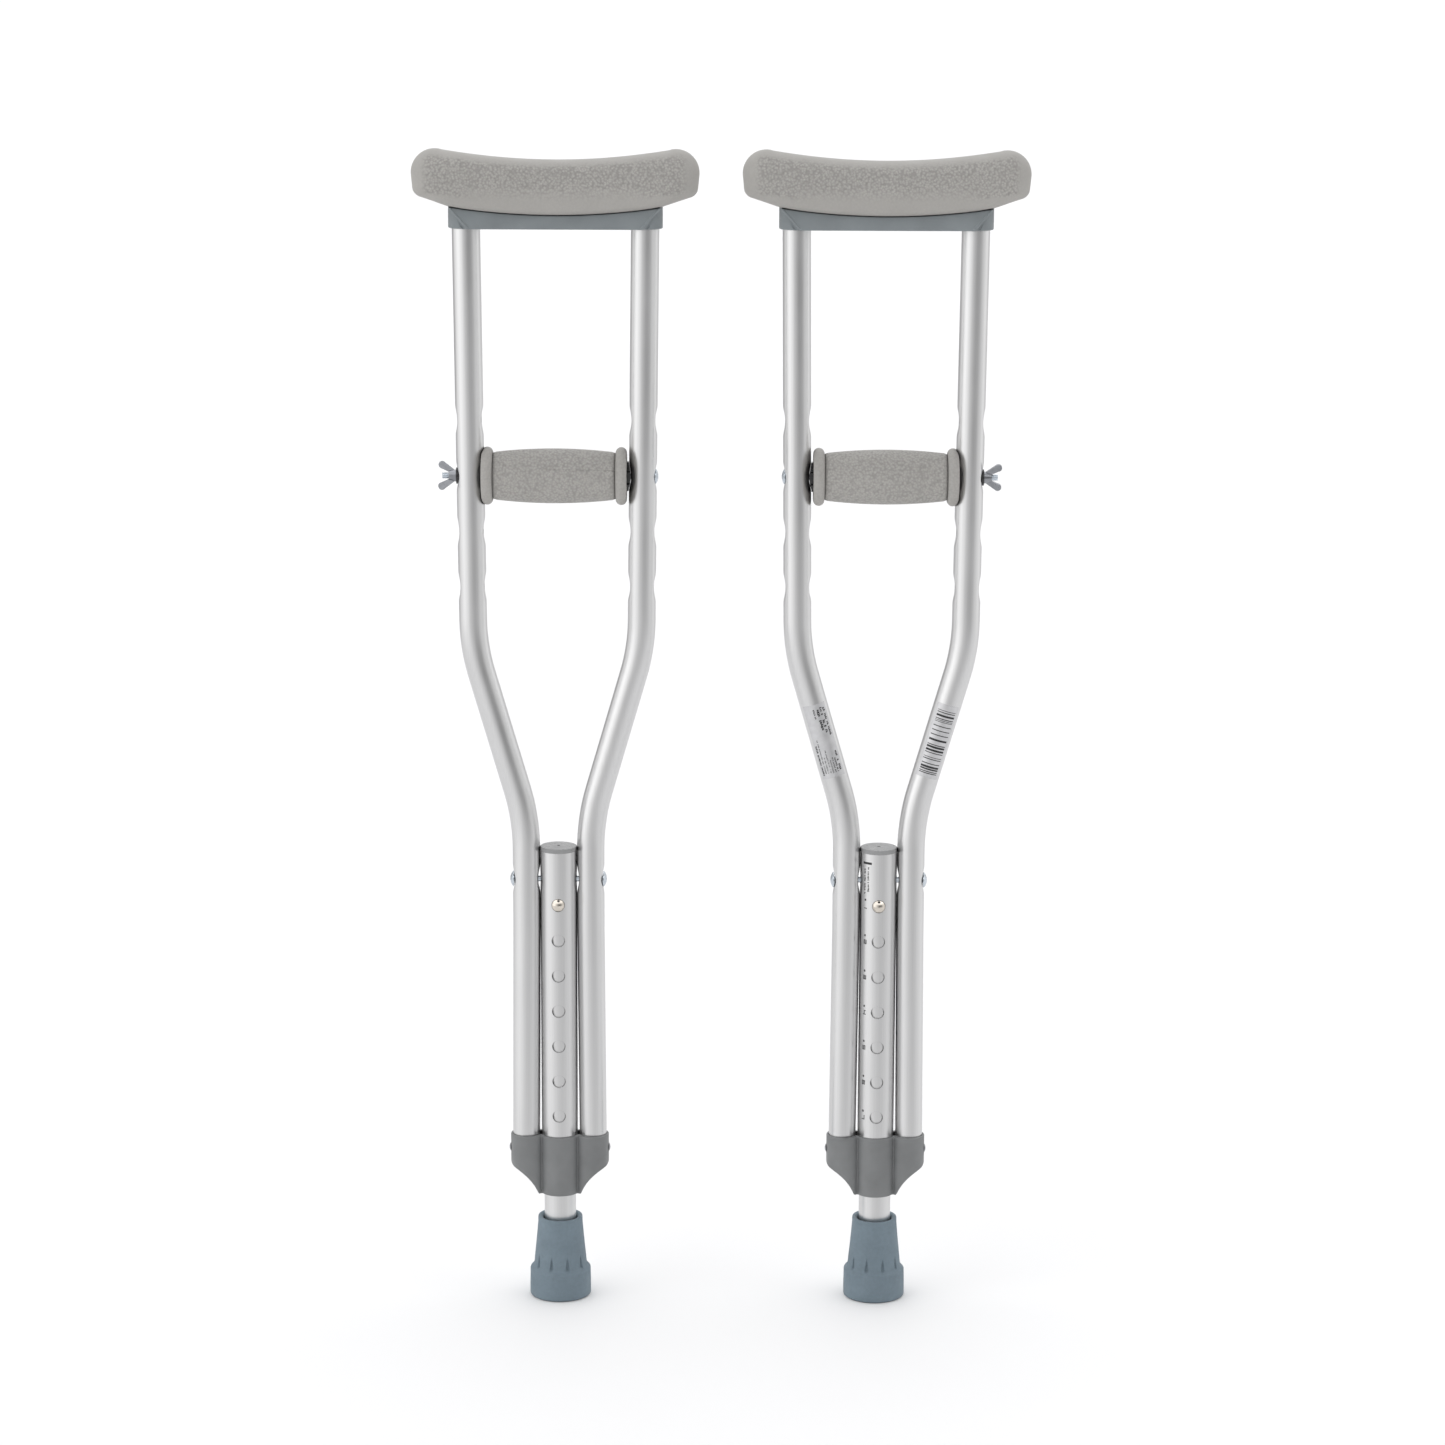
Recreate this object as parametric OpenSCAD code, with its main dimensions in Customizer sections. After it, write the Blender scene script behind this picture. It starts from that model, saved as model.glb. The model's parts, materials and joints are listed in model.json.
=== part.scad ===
// A pair of child-size underarm crutches in aluminium tube, at their shortest setting.
// Each crutch is drawn once, standing on the floor on its own axis: +Z up, -Y its marked
// front, +X its outer side, where the wing nut is. The right crutch keeps that frame. The
// left one is the same crutch turned half a turn, so its wing nut is also on the outside.

/* [Pair] */
// Distance between the centre lines of the two crutches
pair_spacing = 222; // [200:1:400]

/* [Bows] */
// Outside diameter of the bent side tubes
bow_od = 19.05; // [18:0.05:20]
// Wall of the bent side tubes
bow_wall = 1.2; // [1:0.1:1.6]
// Clear gap between each bow and the centre tube
bow_gap = 0.3; // [0.2:0.1:1]
// Height of the corner of the lower bend
lower_bend_z = 346; // [344:1:350]
// How far each bow steps outwards between its two bends
bow_step = 35; // [35:0.5:37]
// Radius of both bends, on the tube's centre line
bend_r = 140; // [105:35:175]
// Depth of the dimple pressed round each bolt hole
dimple_depth = 1.5; // [0.5:0.1:2]

/* [Hand grip] */
// Height of the highest grip hole
grip_hole_top_z = 622.5; // [600:0.5:640]
// Distance between grip holes
grip_hole_pitch = 38.1; // [30:0.1:38.1]
// Grip hole in use, counted down from the top one, which is 0
grip_hole_used = 1; // [0:1:3]
// Radius of the grip's end flanges
grip_flange_r = 19.7; // [18:0.1:22]
// Radius of the grip at its middle
grip_middle_r = 18.6; // [17:0.1:20]
// Radius of the grip beside its flanges
grip_end_r = 15.6; // [14:0.1:17]

/* [Centre tube and leg] */
// Outside diameter of the centre tube
centre_od = 25.4; // [25:0.1:26]
// Wall of the centre tube
centre_wall = 1.5; // [1.2:0.1:1.8]
// Height of the top of the centre tube
centre_top_z = 323; // [318:1:324]
// Wall of the leg tube
leg_wall = 1.2; // [1:0.1:1.6]
// Height of the highest height hole
height_hole_top_z = 286.3; // [284:0.1:288]
// Distance between height holes
height_hole_pitch = 25.4; // [20:0.1:25.4]
// Height of the bolt that ties the bows to the centre tube
cross_bolt_z = 302.5; // [300:0.5:305]
// How far a snap button can be pressed in
button_travel = 4; // [3.5:0.1:4]

/* [Yoke] */
// Height of the yoke's lower edge
yoke_bottom_z = 75.5; // [70:0.5:76]
// Height of the yoke's upper edge
yoke_top_z = 118.5; // [114:0.5:122]

/* [Underarm pad] */
// Height of the lower edge of the underarm bracket
bracket_bottom_z = 752; // [745:1:755]
// Height of the lowest point of the cushion
cushion_bottom_z = 761.5; // [760:0.5:763]
// Height of the cushion's top at its middle
cushion_top_z = 797.4; // [794:0.1:800]
// Front to back depth of the cushion
cushion_depth = 42; // [38:1:50]

/* [Rubber tip] */
// Height of the rubber tip
tip_h = 57.6; // [54:0.1:62]
// Radius of the tip's foot
tip_foot_r = 21.5; // [20:0.1:25]
// Number of flutes round the tip's shoulder
flute_count = 10; // [6:1:14]

/* [Hidden] */
$fn = 64;

PIECES = [
    "underarm_cushion", "underarm_bracket", "outer_bow", "inner_bow",
    "centre_tube", "tube_cap", "cross_bolt", "cross_bolt_nut",
    "yoke", "yoke_rivets", "labels",
    "grip_cushion", "grip_core", "grip_bolt", "saddle_washer", "wing_nut",
    "leg_tube", "front_button", "rear_button", "button_spring",
    "rubber_tip", "tip_washer"
];
SIDES = ["left", "right"];

// Colours of the finished materials
aluminium = [0.84, 0.84, 0.85];
foam_grey = [0.66, 0.65, 0.63];
bracket_grey = [0.46, 0.50, 0.51];
yoke_grey = [0.47, 0.48, 0.48];
tip_grey = [0.45, 0.52, 0.56];
black = [0.08, 0.08, 0.08];
zinc = [0.78, 0.82, 0.86];
nickel = [0.80, 0.76, 0.70];
film = [0.90, 0.90, 0.90];

// Clearances
slide_gap = 0.1;   // between a piece and the hole or tube that it slides in
fit_gap = 0.05;    // between pieces that are pressed or screwed together
soft_gap = 0.15;   // round a hard core inside foam rubber
cut = 1;           // how far a cutter runs past the face that it cuts

// Side tubes: the centre line of the outer bow in the XZ plane. From the yoke up it is an
// upright foot, a bend outwards to a slope of 7 in 24, and a bend back to a nearly upright head.
bow_r = bow_od / 2;
centre_r = centre_od / 2;
bow_foot_half = centre_r + bow_r + bow_gap;
bow_bend_half = bow_foot_half + bow_step;
upper_bend_z = lower_bend_z + bow_step * 24 / 7;
bow_foot_z = 98.5;
bow_head_z = 768.5;
slant_a = atan(7 / 24);
upper_turn = 15.74;
head_a = slant_a - upper_turn;
lower_tangent = bend_r / 7;
upper_tangent = bend_r * tan(upper_turn / 2);
slant_length = bow_step * 25 / 7 - lower_tangent - upper_tangent;
head_length = (bow_head_z - upper_bend_z) / cos(head_a) - upper_tangent;
// the tube is this much slimmer round a bend, and the bend runs this far into its straights
bend_slimming = 0.08;
bend_lap = 0.2;
function bow_x(z) = bow_bend_half + (z - upper_bend_z) * tan(head_a);

// Holes
grip_hole_count = 4;
grip_hole_zs = [for (i = [0:grip_hole_count - 1]) grip_hole_top_z - i * grip_hole_pitch];
grip_z = grip_hole_zs[grip_hole_used];
grip_bow_x = bow_x(grip_z);
height_hole_count = 7;
height_hole_zs = [for (i = [0:height_hole_count - 1]) height_hole_top_z - i * height_hole_pitch];
dimple_r = 25;
bolt_r = 2;
bolt_hole_r = 2.3;
button_r = 4.4;
height_hole_r = 4.6;
leg_button_hole_r = 4.5;
rivet_r = 1.6;
rivet_z = 108;

// Telescoping tubes
leg_r = centre_r - centre_wall - slide_gap;
leg_bore_r = leg_r - leg_wall;
leg_top_z = height_hole_top_z + 10.7;
leg_foot_z = 12;
centre_foot_z = yoke_bottom_z + 3;

// Cushion outline, right half
bottom_arc_r = 474;
top_arc_r = 443;
end_arc_r = 15.8;
end_arc_centre = [80.8, cushion_top_z - 8.4];
corner_r = 7.2;
corner_centre = [88.6, cushion_bottom_z + 18.2];
cushion_plan_r = 20;
cushion_half = end_arc_centre[0] + end_arc_r;

// Underarm bracket
socket_r = 12.75;
web_half_depth = 12.95;
core_half = 80;
core_half_depth = 12.6;
core_thickness = 10.5;

// Points of a circular arc in a plane
function arc(centre, r, from, to, steps) =
    [for (i = [0:steps]) let (a = from + (to - from) * i / steps) centre + r * [cos(a), sin(a)]];

// ---------------------------------------------------------------- helpers

// Lay children, drawn along +Z, along +X at height z
module along_x(x, z) {
    translate([x, 0, z])
        rotate([0, 90, 0])
            children();
}

// Lay children, drawn along +Z, along -Y at height z
module along_front(z) {
    translate([0, 0, z])
        rotate([90, 0, 0])
            children();
}

// Turn a flat XZ outline into a slab centred on the XZ plane
module slab(depth) {
    rotate([90, 0, 0])
        linear_extrude(depth, center = true)
            children();
}

// A bend that starts at the origin going up and turns towards +X, or towards -X if dir is -1
module bend_bar(r, turn, dir) {
    mirror([dir > 0 ? 1 : 0, 0, 0])
        rotate([90, 0, 0])
            translate([-bend_r, 0])
                rotate([0, 0, -bend_lap])
                    rotate_extrude(angle = turn + 2 * bend_lap, $fn = 360)
                        translate([bend_r, 0])
                            circle(r - bend_slimming, $fn = 64);
}

// Stand children at a corner of the bow, moved along the tube by a distance
module bow_corner(x, z, angle, distance) {
    translate([x, 0, z])
        rotate([0, angle, 0])
            translate([0, 0, distance])
                children();
}

// A round bar along the outer bow's whole centre line
module bow_bar(r) {
    foot_end_z = lower_bend_z - lower_tangent;
    translate([bow_foot_half, 0, bow_foot_z])
        cylinder(r = r, h = foot_end_z - bow_foot_z);
    translate([bow_foot_half, 0, foot_end_z])
        bend_bar(r, slant_a, 1);
    bow_corner(bow_foot_half, lower_bend_z, slant_a, lower_tangent)
        cylinder(r = r, h = slant_length);
    bow_corner(bow_bend_half, upper_bend_z, slant_a, -upper_tangent)
        bend_bar(r, upper_turn, -1);
    bow_corner(bow_bend_half, upper_bend_z, head_a, upper_tangent)
        cylinder(r = r, h = head_length);
}

// The round tool that presses one dimple into a tube at x, from the side that dir points to.
// grow is how much larger the tool is: the wall's thickness for the tube's inside.
module dimple(x, z, dir, grow = 0) {
    translate([x + dir * (bow_r - dimple_depth + dimple_r), 0, z])
        rotate([90, 0, 0])
            cylinder(r = dimple_r + grow, h = 2 * bow_od, center = true, $fn = 360);
}

// All the dimples of the outer bow
module bow_dimples(grow = 0) {
    for (dir = [-1, 1]) {
        for (z = grip_hole_zs)
            dimple(bow_x(z), z, dir, grow);
        dimple(bow_foot_half, cross_bolt_z, dir, grow);
    }
}

module bow() {
    difference() {
        bow_bar(bow_r);
        bow_dimples();
        difference() {
            bow_bar(bow_r - bow_wall);
            bow_dimples(bow_wall);
        }
        for (z = grip_hole_zs)
            along_x(bow_x(z), z)
                cylinder(r = bolt_hole_r, h = 2 * bow_od, center = true);
        along_x(bow_foot_half, cross_bolt_z)
            cylinder(r = bolt_hole_r, h = 2 * bow_od, center = true);
        along_x(bow_foot_half, rivet_z)
            cylinder(r = rivet_r + fit_gap, h = bow_od);
    }
}

// A head with its flat side at z = 0, an upright rim and a domed top
module domed_head(r, rim_h, h) {
    dome_h = h - rim_h;
    ball_r = (r * r + dome_h * dome_h) / (2 * dome_h);
    intersection() {
        cylinder(r = r, h = h);
        translate([0, 0, h - ball_r])
            sphere(ball_r);
    }
}

// ------------------------------------------------------- the frame's parts

module outer_bow() {
    color(aluminium)
        bow();
}

module inner_bow() {
    color(aluminium)
        mirror([1, 0, 0])
            bow();
}

module centre_tube() {
    color(aluminium)
        difference() {
            translate([0, 0, centre_foot_z])
                cylinder(r = centre_r, h = centre_top_z - centre_foot_z);
            translate([0, 0, centre_foot_z - cut])
                cylinder(r = centre_r - centre_wall, h = centre_top_z - centre_foot_z + 2 * cut);
            for (z = height_hole_zs)
                along_front(z)
                    cylinder(r = height_hole_r, h = 2 * centre_od, center = true);
            along_x(0, cross_bolt_z)
                cylinder(r = bolt_hole_r, h = 2 * centre_od, center = true);
        }
}

// Plug with a rounded rim that closes the top of the centre tube
module tube_cap() {
    rim_h = 3;
    rim_r = centre_r + 0.15;
    rim_round = 0.8;
    plug_r = centre_r - centre_wall - fit_gap;
    plug_h = 7;
    mark_r = 1.1;
    color(yoke_grey)
        difference() {
            translate([0, 0, centre_top_z])
                rotate_extrude() {
                    translate([0, fit_gap])
                        square([rim_r - rim_round, rim_h]);
                    translate([0, fit_gap])
                        square([rim_r, rim_h - rim_round]);
                    translate([rim_r - rim_round, rim_h + fit_gap - rim_round])
                        circle(rim_round);
                    translate([0, -plug_h])
                        square([plug_r, plug_h + rim_h / 2]);
                }
            translate([0, 0, centre_top_z - plug_h - cut])
                cylinder(r = plug_r - 1.6, h = plug_h + cut);
            translate([0, 0, centre_top_z + rim_h - 0.4])
                cylinder(r = mark_r, h = rim_h);
        }
}

// Bolt head or nut that beds in the dimple of a tube whose axis is at x
module bedded_head(x, z, dir, r, h) {
    seat = bow_r - dimple_depth;
    intersection() {
        translate([x + dir * (seat - 0.1), 0, z])
            rotate([0, dir * 90, 0])
                domed_head(r, 1.1, h);
        dimple(x, z, dir, -fit_gap);
    }
}

cross_seat = bow_foot_half + bow_r - dimple_depth;

module cross_bolt() {
    color(zinc)
        union() {
            along_x(-cross_seat - 0.5, cross_bolt_z)
                cylinder(r = bolt_r, h = 2 * cross_seat + 1.5);
            bedded_head(-bow_foot_half, cross_bolt_z, -1, 5.4, 3);
        }
}

module cross_bolt_nut() {
    color(zinc)
        difference() {
            bedded_head(bow_foot_half, cross_bolt_z, 1, 5.4, 3.2);
            along_x(0, cross_bolt_z)
                cylinder(r = bolt_r + fit_gap, h = cross_seat + 1.1);
        }
}

// Moulded yoke: a round collar for the centre tube with a lobe for each bow
module yoke() {
    collar_r = centre_r + 1.5;
    lobe_r = bow_r + 2.4;
    yoke_h = yoke_top_z - yoke_bottom_z;
    taper_r = 32.6;
    taper_at = [45.2, yoke_bottom_z - 10.4];
    color(yoke_grey)
        difference() {
            translate([0, 0, yoke_bottom_z])
                linear_extrude(yoke_h)
                    union() {
                        circle(collar_r);
                        for (dir = [-1, 1])
                            translate([dir * bow_foot_half, 0])
                                circle(lobe_r);
                    }
            for (dir = [-1, 1]) {
                translate([dir * taper_at[0], 0, taper_at[1]])
                    rotate([90, 0, 0])
                        cylinder(r = taper_r, h = 2 * bow_od, center = true);
                translate([dir * bow_foot_half, 0, bow_foot_z - fit_gap])
                    cylinder(r = bow_r + fit_gap, h = yoke_h);
            }
            translate([0, 0, centre_foot_z - fit_gap])
                cylinder(r = centre_r + fit_gap, h = yoke_h);
            translate([0, 0, yoke_bottom_z - cut])
                cylinder(r = leg_r + slide_gap, h = yoke_h);
            // open pockets between the three tubes
            translate([-bow_foot_half, -4.4, bow_foot_z])
                cube([2 * bow_foot_half, 8.8, yoke_h]);
            along_x(0, rivet_z)
                cylinder(r = rivet_r + fit_gap, h = 3 * centre_od, center = true);
        }
}

// Two rivets through the outer walls of the yoke and the bows
module yoke_rivets() {
    head_x = bow_foot_half + bow_r + 2.4;
    tail_x = bow_foot_half + bow_r - bow_wall - 1.2;
    color(zinc)
        for (dir = [-1, 1])
            translate([dir * tail_x, 0, rivet_z])
                rotate([0, dir * 90, 0])
                    union() {
                        cylinder(r = rivet_r, h = head_x - tail_x + 0.2);
                        // tail set inside the tube, clear of its round wall
                        cylinder(r = rivet_r + 0.8, h = 0.6);
                        translate([0, 0, head_x - tail_x + 0.05])
                            domed_head(2.9, 0.1, 1);
                    }
}

// Film labels on the slanted stretch of both bows, towards the front
module labels() {
    film_t = 0.12;
    label_l = 53;
    label_a = 104;
    label_start = lower_tangent + 12.5;
    color(film)
        for (dir = [0, 1])
            mirror([dir, 0, 0])
                bow_corner(bow_foot_half, lower_bend_z, slant_a, label_start)
                    rotate([0, 0, -90 - label_a / 2])
                        rotate_extrude(angle = label_a)
                            translate([bow_r + 0.02, 0])
                                square([film_t, label_l]);
}

// --------------------------------------------------------- the underarm pad

// Height of the cushion's underside along the bracket
function underside_z(x) = cushion_bottom_z + bottom_arc_r - sqrt(bottom_arc_r * bottom_arc_r - x * x);

function cushion_right() = concat(
    arc([0, cushion_bottom_z + bottom_arc_r], bottom_arc_r, -90, -81.3, 6),
    arc(corner_centre, corner_r, -68, -14, 5),
    arc(end_arc_centre, end_arc_r, -10, 100, 10),
    arc([0, cushion_top_z + top_arc_r], top_arc_r, -79.9, -90, 7)
);

module cushion_outline() {
    right = cushion_right();
    inner = len(right) - 2;
    polygon(concat(right, [for (i = [inner:-1:1]) [-right[i][0], right[i][1]]]));
}

// A flat bar with round ends seen from above
module round_ended_bar(half, depth, end_r, z, h) {
    translate([0, 0, z])
        linear_extrude(h)
            union() {
                square([2 * half, depth - 2 * end_r], center = true);
                square([2 * (half - end_r), depth], center = true);
                for (sx = [-1, 1])
                    for (sy = [-1, 1])
                        translate([sx * (half - end_r), sy * (depth / 2 - end_r)])
                            circle(end_r);
            }
}

// The bracket's core inside the cushion; grow leaves room for it in the foam
module bracket_core(grow = 0) {
    steps = 8;
    half = core_half + grow;
    under = [for (i = [-steps:steps]) [half * i / steps, underside_z(half * i / steps) + 0.3 - grow]];
    over = [for (i = [-steps:steps]) [half * -i / steps,
        underside_z(half * -i / steps) + core_thickness + grow]];
    intersection() {
        slab(2 * (core_half_depth + grow))
            polygon(concat(under, over));
        round_ended_bar(half, 2 * (core_half_depth + grow), 8, bracket_bottom_z, 60);
    }
}

module underarm_cushion() {
    color(foam_grey)
        difference() {
            intersection() {
                slab(cushion_depth)
                    cushion_outline();
                round_ended_bar(cushion_half, cushion_depth, cushion_plan_r, bracket_bottom_z, 80);
            }
            bracket_core(soft_gap);
            // mouth through which the bracket goes in
            translate([-core_half + 8, -core_half_depth - soft_gap, bracket_bottom_z])
                cube([2 * (core_half - 8), 2 * (core_half_depth + soft_gap), core_thickness + 6]);
            for (dir = [-1, 1])
                translate([dir * bow_x(bracket_bottom_z), 0, bracket_bottom_z])
                    cylinder(r = socket_r + 2 * soft_gap, h = core_thickness + 9);
        }
}

module underarm_bracket() {
    web_bottom_half = 58.4;
    web_top_half = 71.1;
    steps = 8;
    pocket_half = 45;
    rib_t = 1.6;
    skin = 1.8;
    pocket_h = 7;
    web_top = [for (i = [-steps:steps]) let (x = -web_top_half * i / steps) [x, underside_z(x) - soft_gap]];
    color(bracket_grey)
        difference() {
            union() {
                slab(2 * web_half_depth)
                    polygon(concat([[-web_bottom_half, bracket_bottom_z],
                        [web_bottom_half, bracket_bottom_z]], web_top));
                bracket_core();
                for (dir = [-1, 1])
                    translate([dir * bow_x(bracket_bottom_z), 0, bracket_bottom_z])
                        cylinder(r = socket_r, h = core_thickness + 8);
                translate([-web_bottom_half, -core_half_depth, bracket_bottom_z + 5])
                    cube([2 * web_bottom_half, 2 * core_half_depth, 8]);
            }
            for (dir = [0, 1])
                mirror([dir, 0, 0])
                    bow_corner(bow_bend_half, upper_bend_z, head_a, upper_tangent)
                        cylinder(r = bow_r + fit_gap, h = head_length + fit_gap);
            // moulded pockets in the underside, between ribs
            for (dir = [-1, 1])
                for (i = [0:2])
                    translate([dir * (i + 0.5) * pocket_half / 3, 0, bracket_bottom_z + pocket_h / 2 - cut / 2])
                        cube([pocket_half / 3 - rib_t, 2 * (web_half_depth - skin), pocket_h + cut], center = true);
        }
}

// ------------------------------------------------------------ the hand grip

// How far the grip is pushed towards the wing nut
grip_shift = 1.6;
grip_half = 49.3;
grip_core_r = 10.5;
grip_core_half = 52;

// Profile of the grip: two round-edged flanges with a swelling barrel between them
module grip_profile() {
    flange_w = 7.6;
    barrel_half = grip_half - flange_w / 2;
    swell = grip_middle_r - grip_end_r;
    barrel_arc_r = (barrel_half * barrel_half + swell * swell) / (2 * swell);
    bore_r = grip_core_r + soft_gap;
    difference() {
        union() {
            intersection() {
                translate([-barrel_half, 0])
                    square([2 * barrel_half, 2 * grip_middle_r]);
                translate([0, grip_middle_r - barrel_arc_r])
                    circle(barrel_arc_r, $fn = 360);
            }
            for (dir = [-1, 1])
                translate([dir * barrel_half, 0]) {
                    translate([0, grip_flange_r - flange_w / 2])
                        circle(flange_w / 2);
                    translate([-flange_w / 2, 0])
                        square([flange_w, grip_flange_r - flange_w / 2]);
                }
        }
        translate([-2 * grip_half, -cut])
            square([4 * grip_half, bore_r + cut]);
    }
}

// The bows as the ends of the grip are shaped to meet them
module bow_saddles(gap) {
    for (dir = [-1, 1])
        bow_corner(dir * grip_bow_x, grip_z, dir * head_a, 0)
            cylinder(r = bow_r + gap, h = 3 * grip_flange_r, center = true);
}

module grip_cushion() {
    color(foam_grey)
        difference() {
            translate([grip_shift, 0, grip_z])
                rotate([0, 90, 0])
                    rotate_extrude()
                        rotate([0, 0, 90])
                            mirror([0, 1])
                                grip_profile();
            bow_saddles(soft_gap);
        }
}

module grip_core() {
    groove_w = 2.6;
    groove_d = 1;
    collar_w = 2.2;
    color(black)
        difference() {
            along_x(-grip_core_half, grip_z)
                cylinder(r = grip_core_r, h = 2 * grip_core_half);
            along_x(-grip_core_half - cut, grip_z)
                cylinder(r = bolt_r + 2 * slide_gap, h = 2 * (grip_core_half + cut));
            bow_saddles(soft_gap);
            for (i = [0:7])
                translate([0, 0, grip_z])
                    rotate([45 * i + 22.5, 0, 0])
                        translate([0, 0, grip_core_r])
                            cube([2 * (grip_core_half - collar_w - 3), groove_w, 2 * groove_d], center = true);
        }
}

grip_seat = grip_bow_x + bow_r - dimple_depth;
washer_t = 1.6;
nut_hub_h = 5;

module grip_bolt() {
    color(zinc)
        union() {
            along_x(-grip_seat - 0.5, grip_z)
                cylinder(r = bolt_r, h = 2 * grip_seat + washer_t + nut_hub_h + 5);
            bedded_head(-grip_bow_x, grip_z, -1, 5, 2.6);
        }
}

// Washer whose inner face is rounded to bed in the dimple
module saddle_washer() {
    washer_r = 5.6;
    color(black)
        difference() {
            intersection() {
                along_x(grip_seat - 0.1, grip_z)
                    cylinder(r = washer_r, h = washer_t + 0.1);
                dimple(grip_bow_x, grip_z, 1, -slide_gap);
            }
            along_x(0, grip_z)
                cylinder(r = bolt_r + slide_gap, h = 2 * grip_seat);
        }
}

// Wing nut, drawn with its seat at z = 0 and its wings in the XZ plane
module wing_nut_shape() {
    hub_r = 4.2;
    hub_top_r = 3.3;
    wing_t = 1.7;
    wing_tip = [7.4, 9.6];
    wing_tip_r = 2.5;
    difference() {
        union() {
            cylinder(r1 = hub_r, r2 = hub_top_r, h = nut_hub_h);
            for (dir = [0, 1])
                mirror([dir, 0, 0])
                    slab(wing_t)
                        union() {
                            translate(wing_tip)
                                circle(wing_tip_r);
                            polygon([[2.5, 1], [3.8, 1], [wing_tip[0] + 2.2, wing_tip[1] - 1.1],
                                [wing_tip[0] - 1.9, wing_tip[1] + 1.6], [2.5, 4.9]]);
                        }
        }
        translate([0, 0, -cut])
            cylinder(r = bolt_r + fit_gap, h = 20);
    }
}

module wing_nut() {
    color(zinc)
        translate([grip_seat + washer_t + fit_gap, 0, grip_z])
            rotate([20, 0, 0])
                rotate([0, 90, 0])
                    wing_nut_shape();
}

// ------------------------------------------------------ the telescoping leg

module leg_tube() {
    leg_h = leg_top_z - leg_foot_z;
    color(aluminium)
        difference() {
            translate([0, 0, leg_foot_z])
                cylinder(r = leg_r, h = leg_h);
            translate([0, 0, leg_foot_z - cut])
                cylinder(r = leg_bore_r, h = leg_h + 2 * cut);
            along_front(height_hole_top_z)
                cylinder(r = leg_button_hole_r, h = 2 * centre_od, center = true);
        }
}

spring_t = 0.6;
spring_outer = 7.1;

// Snap button: a round pin with a domed end and a flange inside the leg tube
module button() {
    dome_r = 5.2;
    // fully pressed, the dome is just below the leg tube's surface
    reach = leg_r - slide_gap + button_travel;
    flange_r = 5.4;
    flange_bed = spring_outer + fit_gap;
    along_front(height_hole_top_z)
        union() {
            intersection() {
                translate([0, 0, flange_bed])
                    cylinder(r = button_r, h = reach - flange_bed);
                translate([0, 0, reach - dome_r])
                    sphere(dome_r);
            }
            translate([0, 0, flange_bed])
                cylinder(r = button_r, h = reach - dome_r - flange_bed + 0.5);
            intersection() {
                translate([0, 0, flange_bed])
                    cylinder(r = flange_r, h = leg_r);
                rotate([-90, 0, 0])
                    cylinder(r = leg_bore_r - slide_gap, h = 4 * flange_r, center = true);
            }
        }
}

module front_button() {
    color(nickel)
        button();
}

module rear_button() {
    color(nickel)
        mirror([0, 1, 0])
            button();
}

// U-shaped leaf spring that pushes both buttons out
module button_spring() {
    strip_w = 8;
    bend_z = height_hole_top_z - 42;
    tip_z = height_hole_top_z + 5.5;
    spring_inner = spring_outer - spring_t;
    color(zinc)
        rotate([0, 0, 90])
            slab(strip_w)
                translate([0, bend_z])
                    difference() {
                        union() {
                            circle(spring_outer);
                            translate([-spring_outer, 0])
                                square([2 * spring_outer, tip_z - bend_z]);
                        }
                        circle(spring_inner);
                        translate([-spring_inner, 0])
                            square([2 * spring_inner, tip_z - bend_z + cut]);
                    }
}

// ------------------------------------------------------------ the rubber tip

module rubber_tip() {
    lip_r = 15.5;
    waist_r = 18.1;
    waist_z = 27;
    shoulder_z = 20.5;
    bore_r = leg_r + fit_gap;
    floor_z = 10.5;
    flute_r = 2.2;
    tread_depth = 2.5;
    color(tip_grey)
        difference() {
            rotate_extrude()
                difference() {
                    polygon([[0, 0], [tip_foot_r - 1, 0], [tip_foot_r, 1.5],
                        [tip_foot_r, shoulder_z - 2], [tip_foot_r - 1.2, shoulder_z], [waist_r, waist_z],
                        [lip_r + 0.3, tip_h - 2], [lip_r - 0.6, tip_h], [0, tip_h]]);
                    polygon([[0, floor_z], [bore_r, floor_z], [bore_r, tip_h - 3],
                        [bore_r + 1.4, tip_h + 0.01], [0, tip_h + 0.01]]);
                }
            // ring grooves of the tread
            for (r = [8, 14.5])
                translate([0, 0, -cut])
                    difference() {
                        cylinder(r = r + 2.2, h = tread_depth + cut);
                        translate([0, 0, -cut])
                            cylinder(r = r, h = tread_depth + 3 * cut);
                    }
            for (i = [0:flute_count - 1])
                rotate([0, 0, (i + 0.5) * 360 / flute_count])
                    translate([waist_r + flute_r + 0.2, 0, shoulder_z - 1.2])
                        rotate([0, -6, 0])
                            cylinder(r = flute_r + 1, h = 16);
        }
}

module tip_washer() {
    color(zinc)
        translate([0, 0, 10.55])
            difference() {
                cylinder(r = leg_r - 0.1, h = 1.4);
                translate([0, 0, -cut])
                    cylinder(r = 4, h = 4);
            }
}

// ----------------------------------------------------------------- the pair

// Put one crutch in its place in the pair
module stand(side) {
    dir = side == "left" ? -1 : 1;
    translate([dir * pair_spacing / 2, 0, 0])
        rotate([0, 0, dir < 0 ? 180 : 0])
            children();
}

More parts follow.
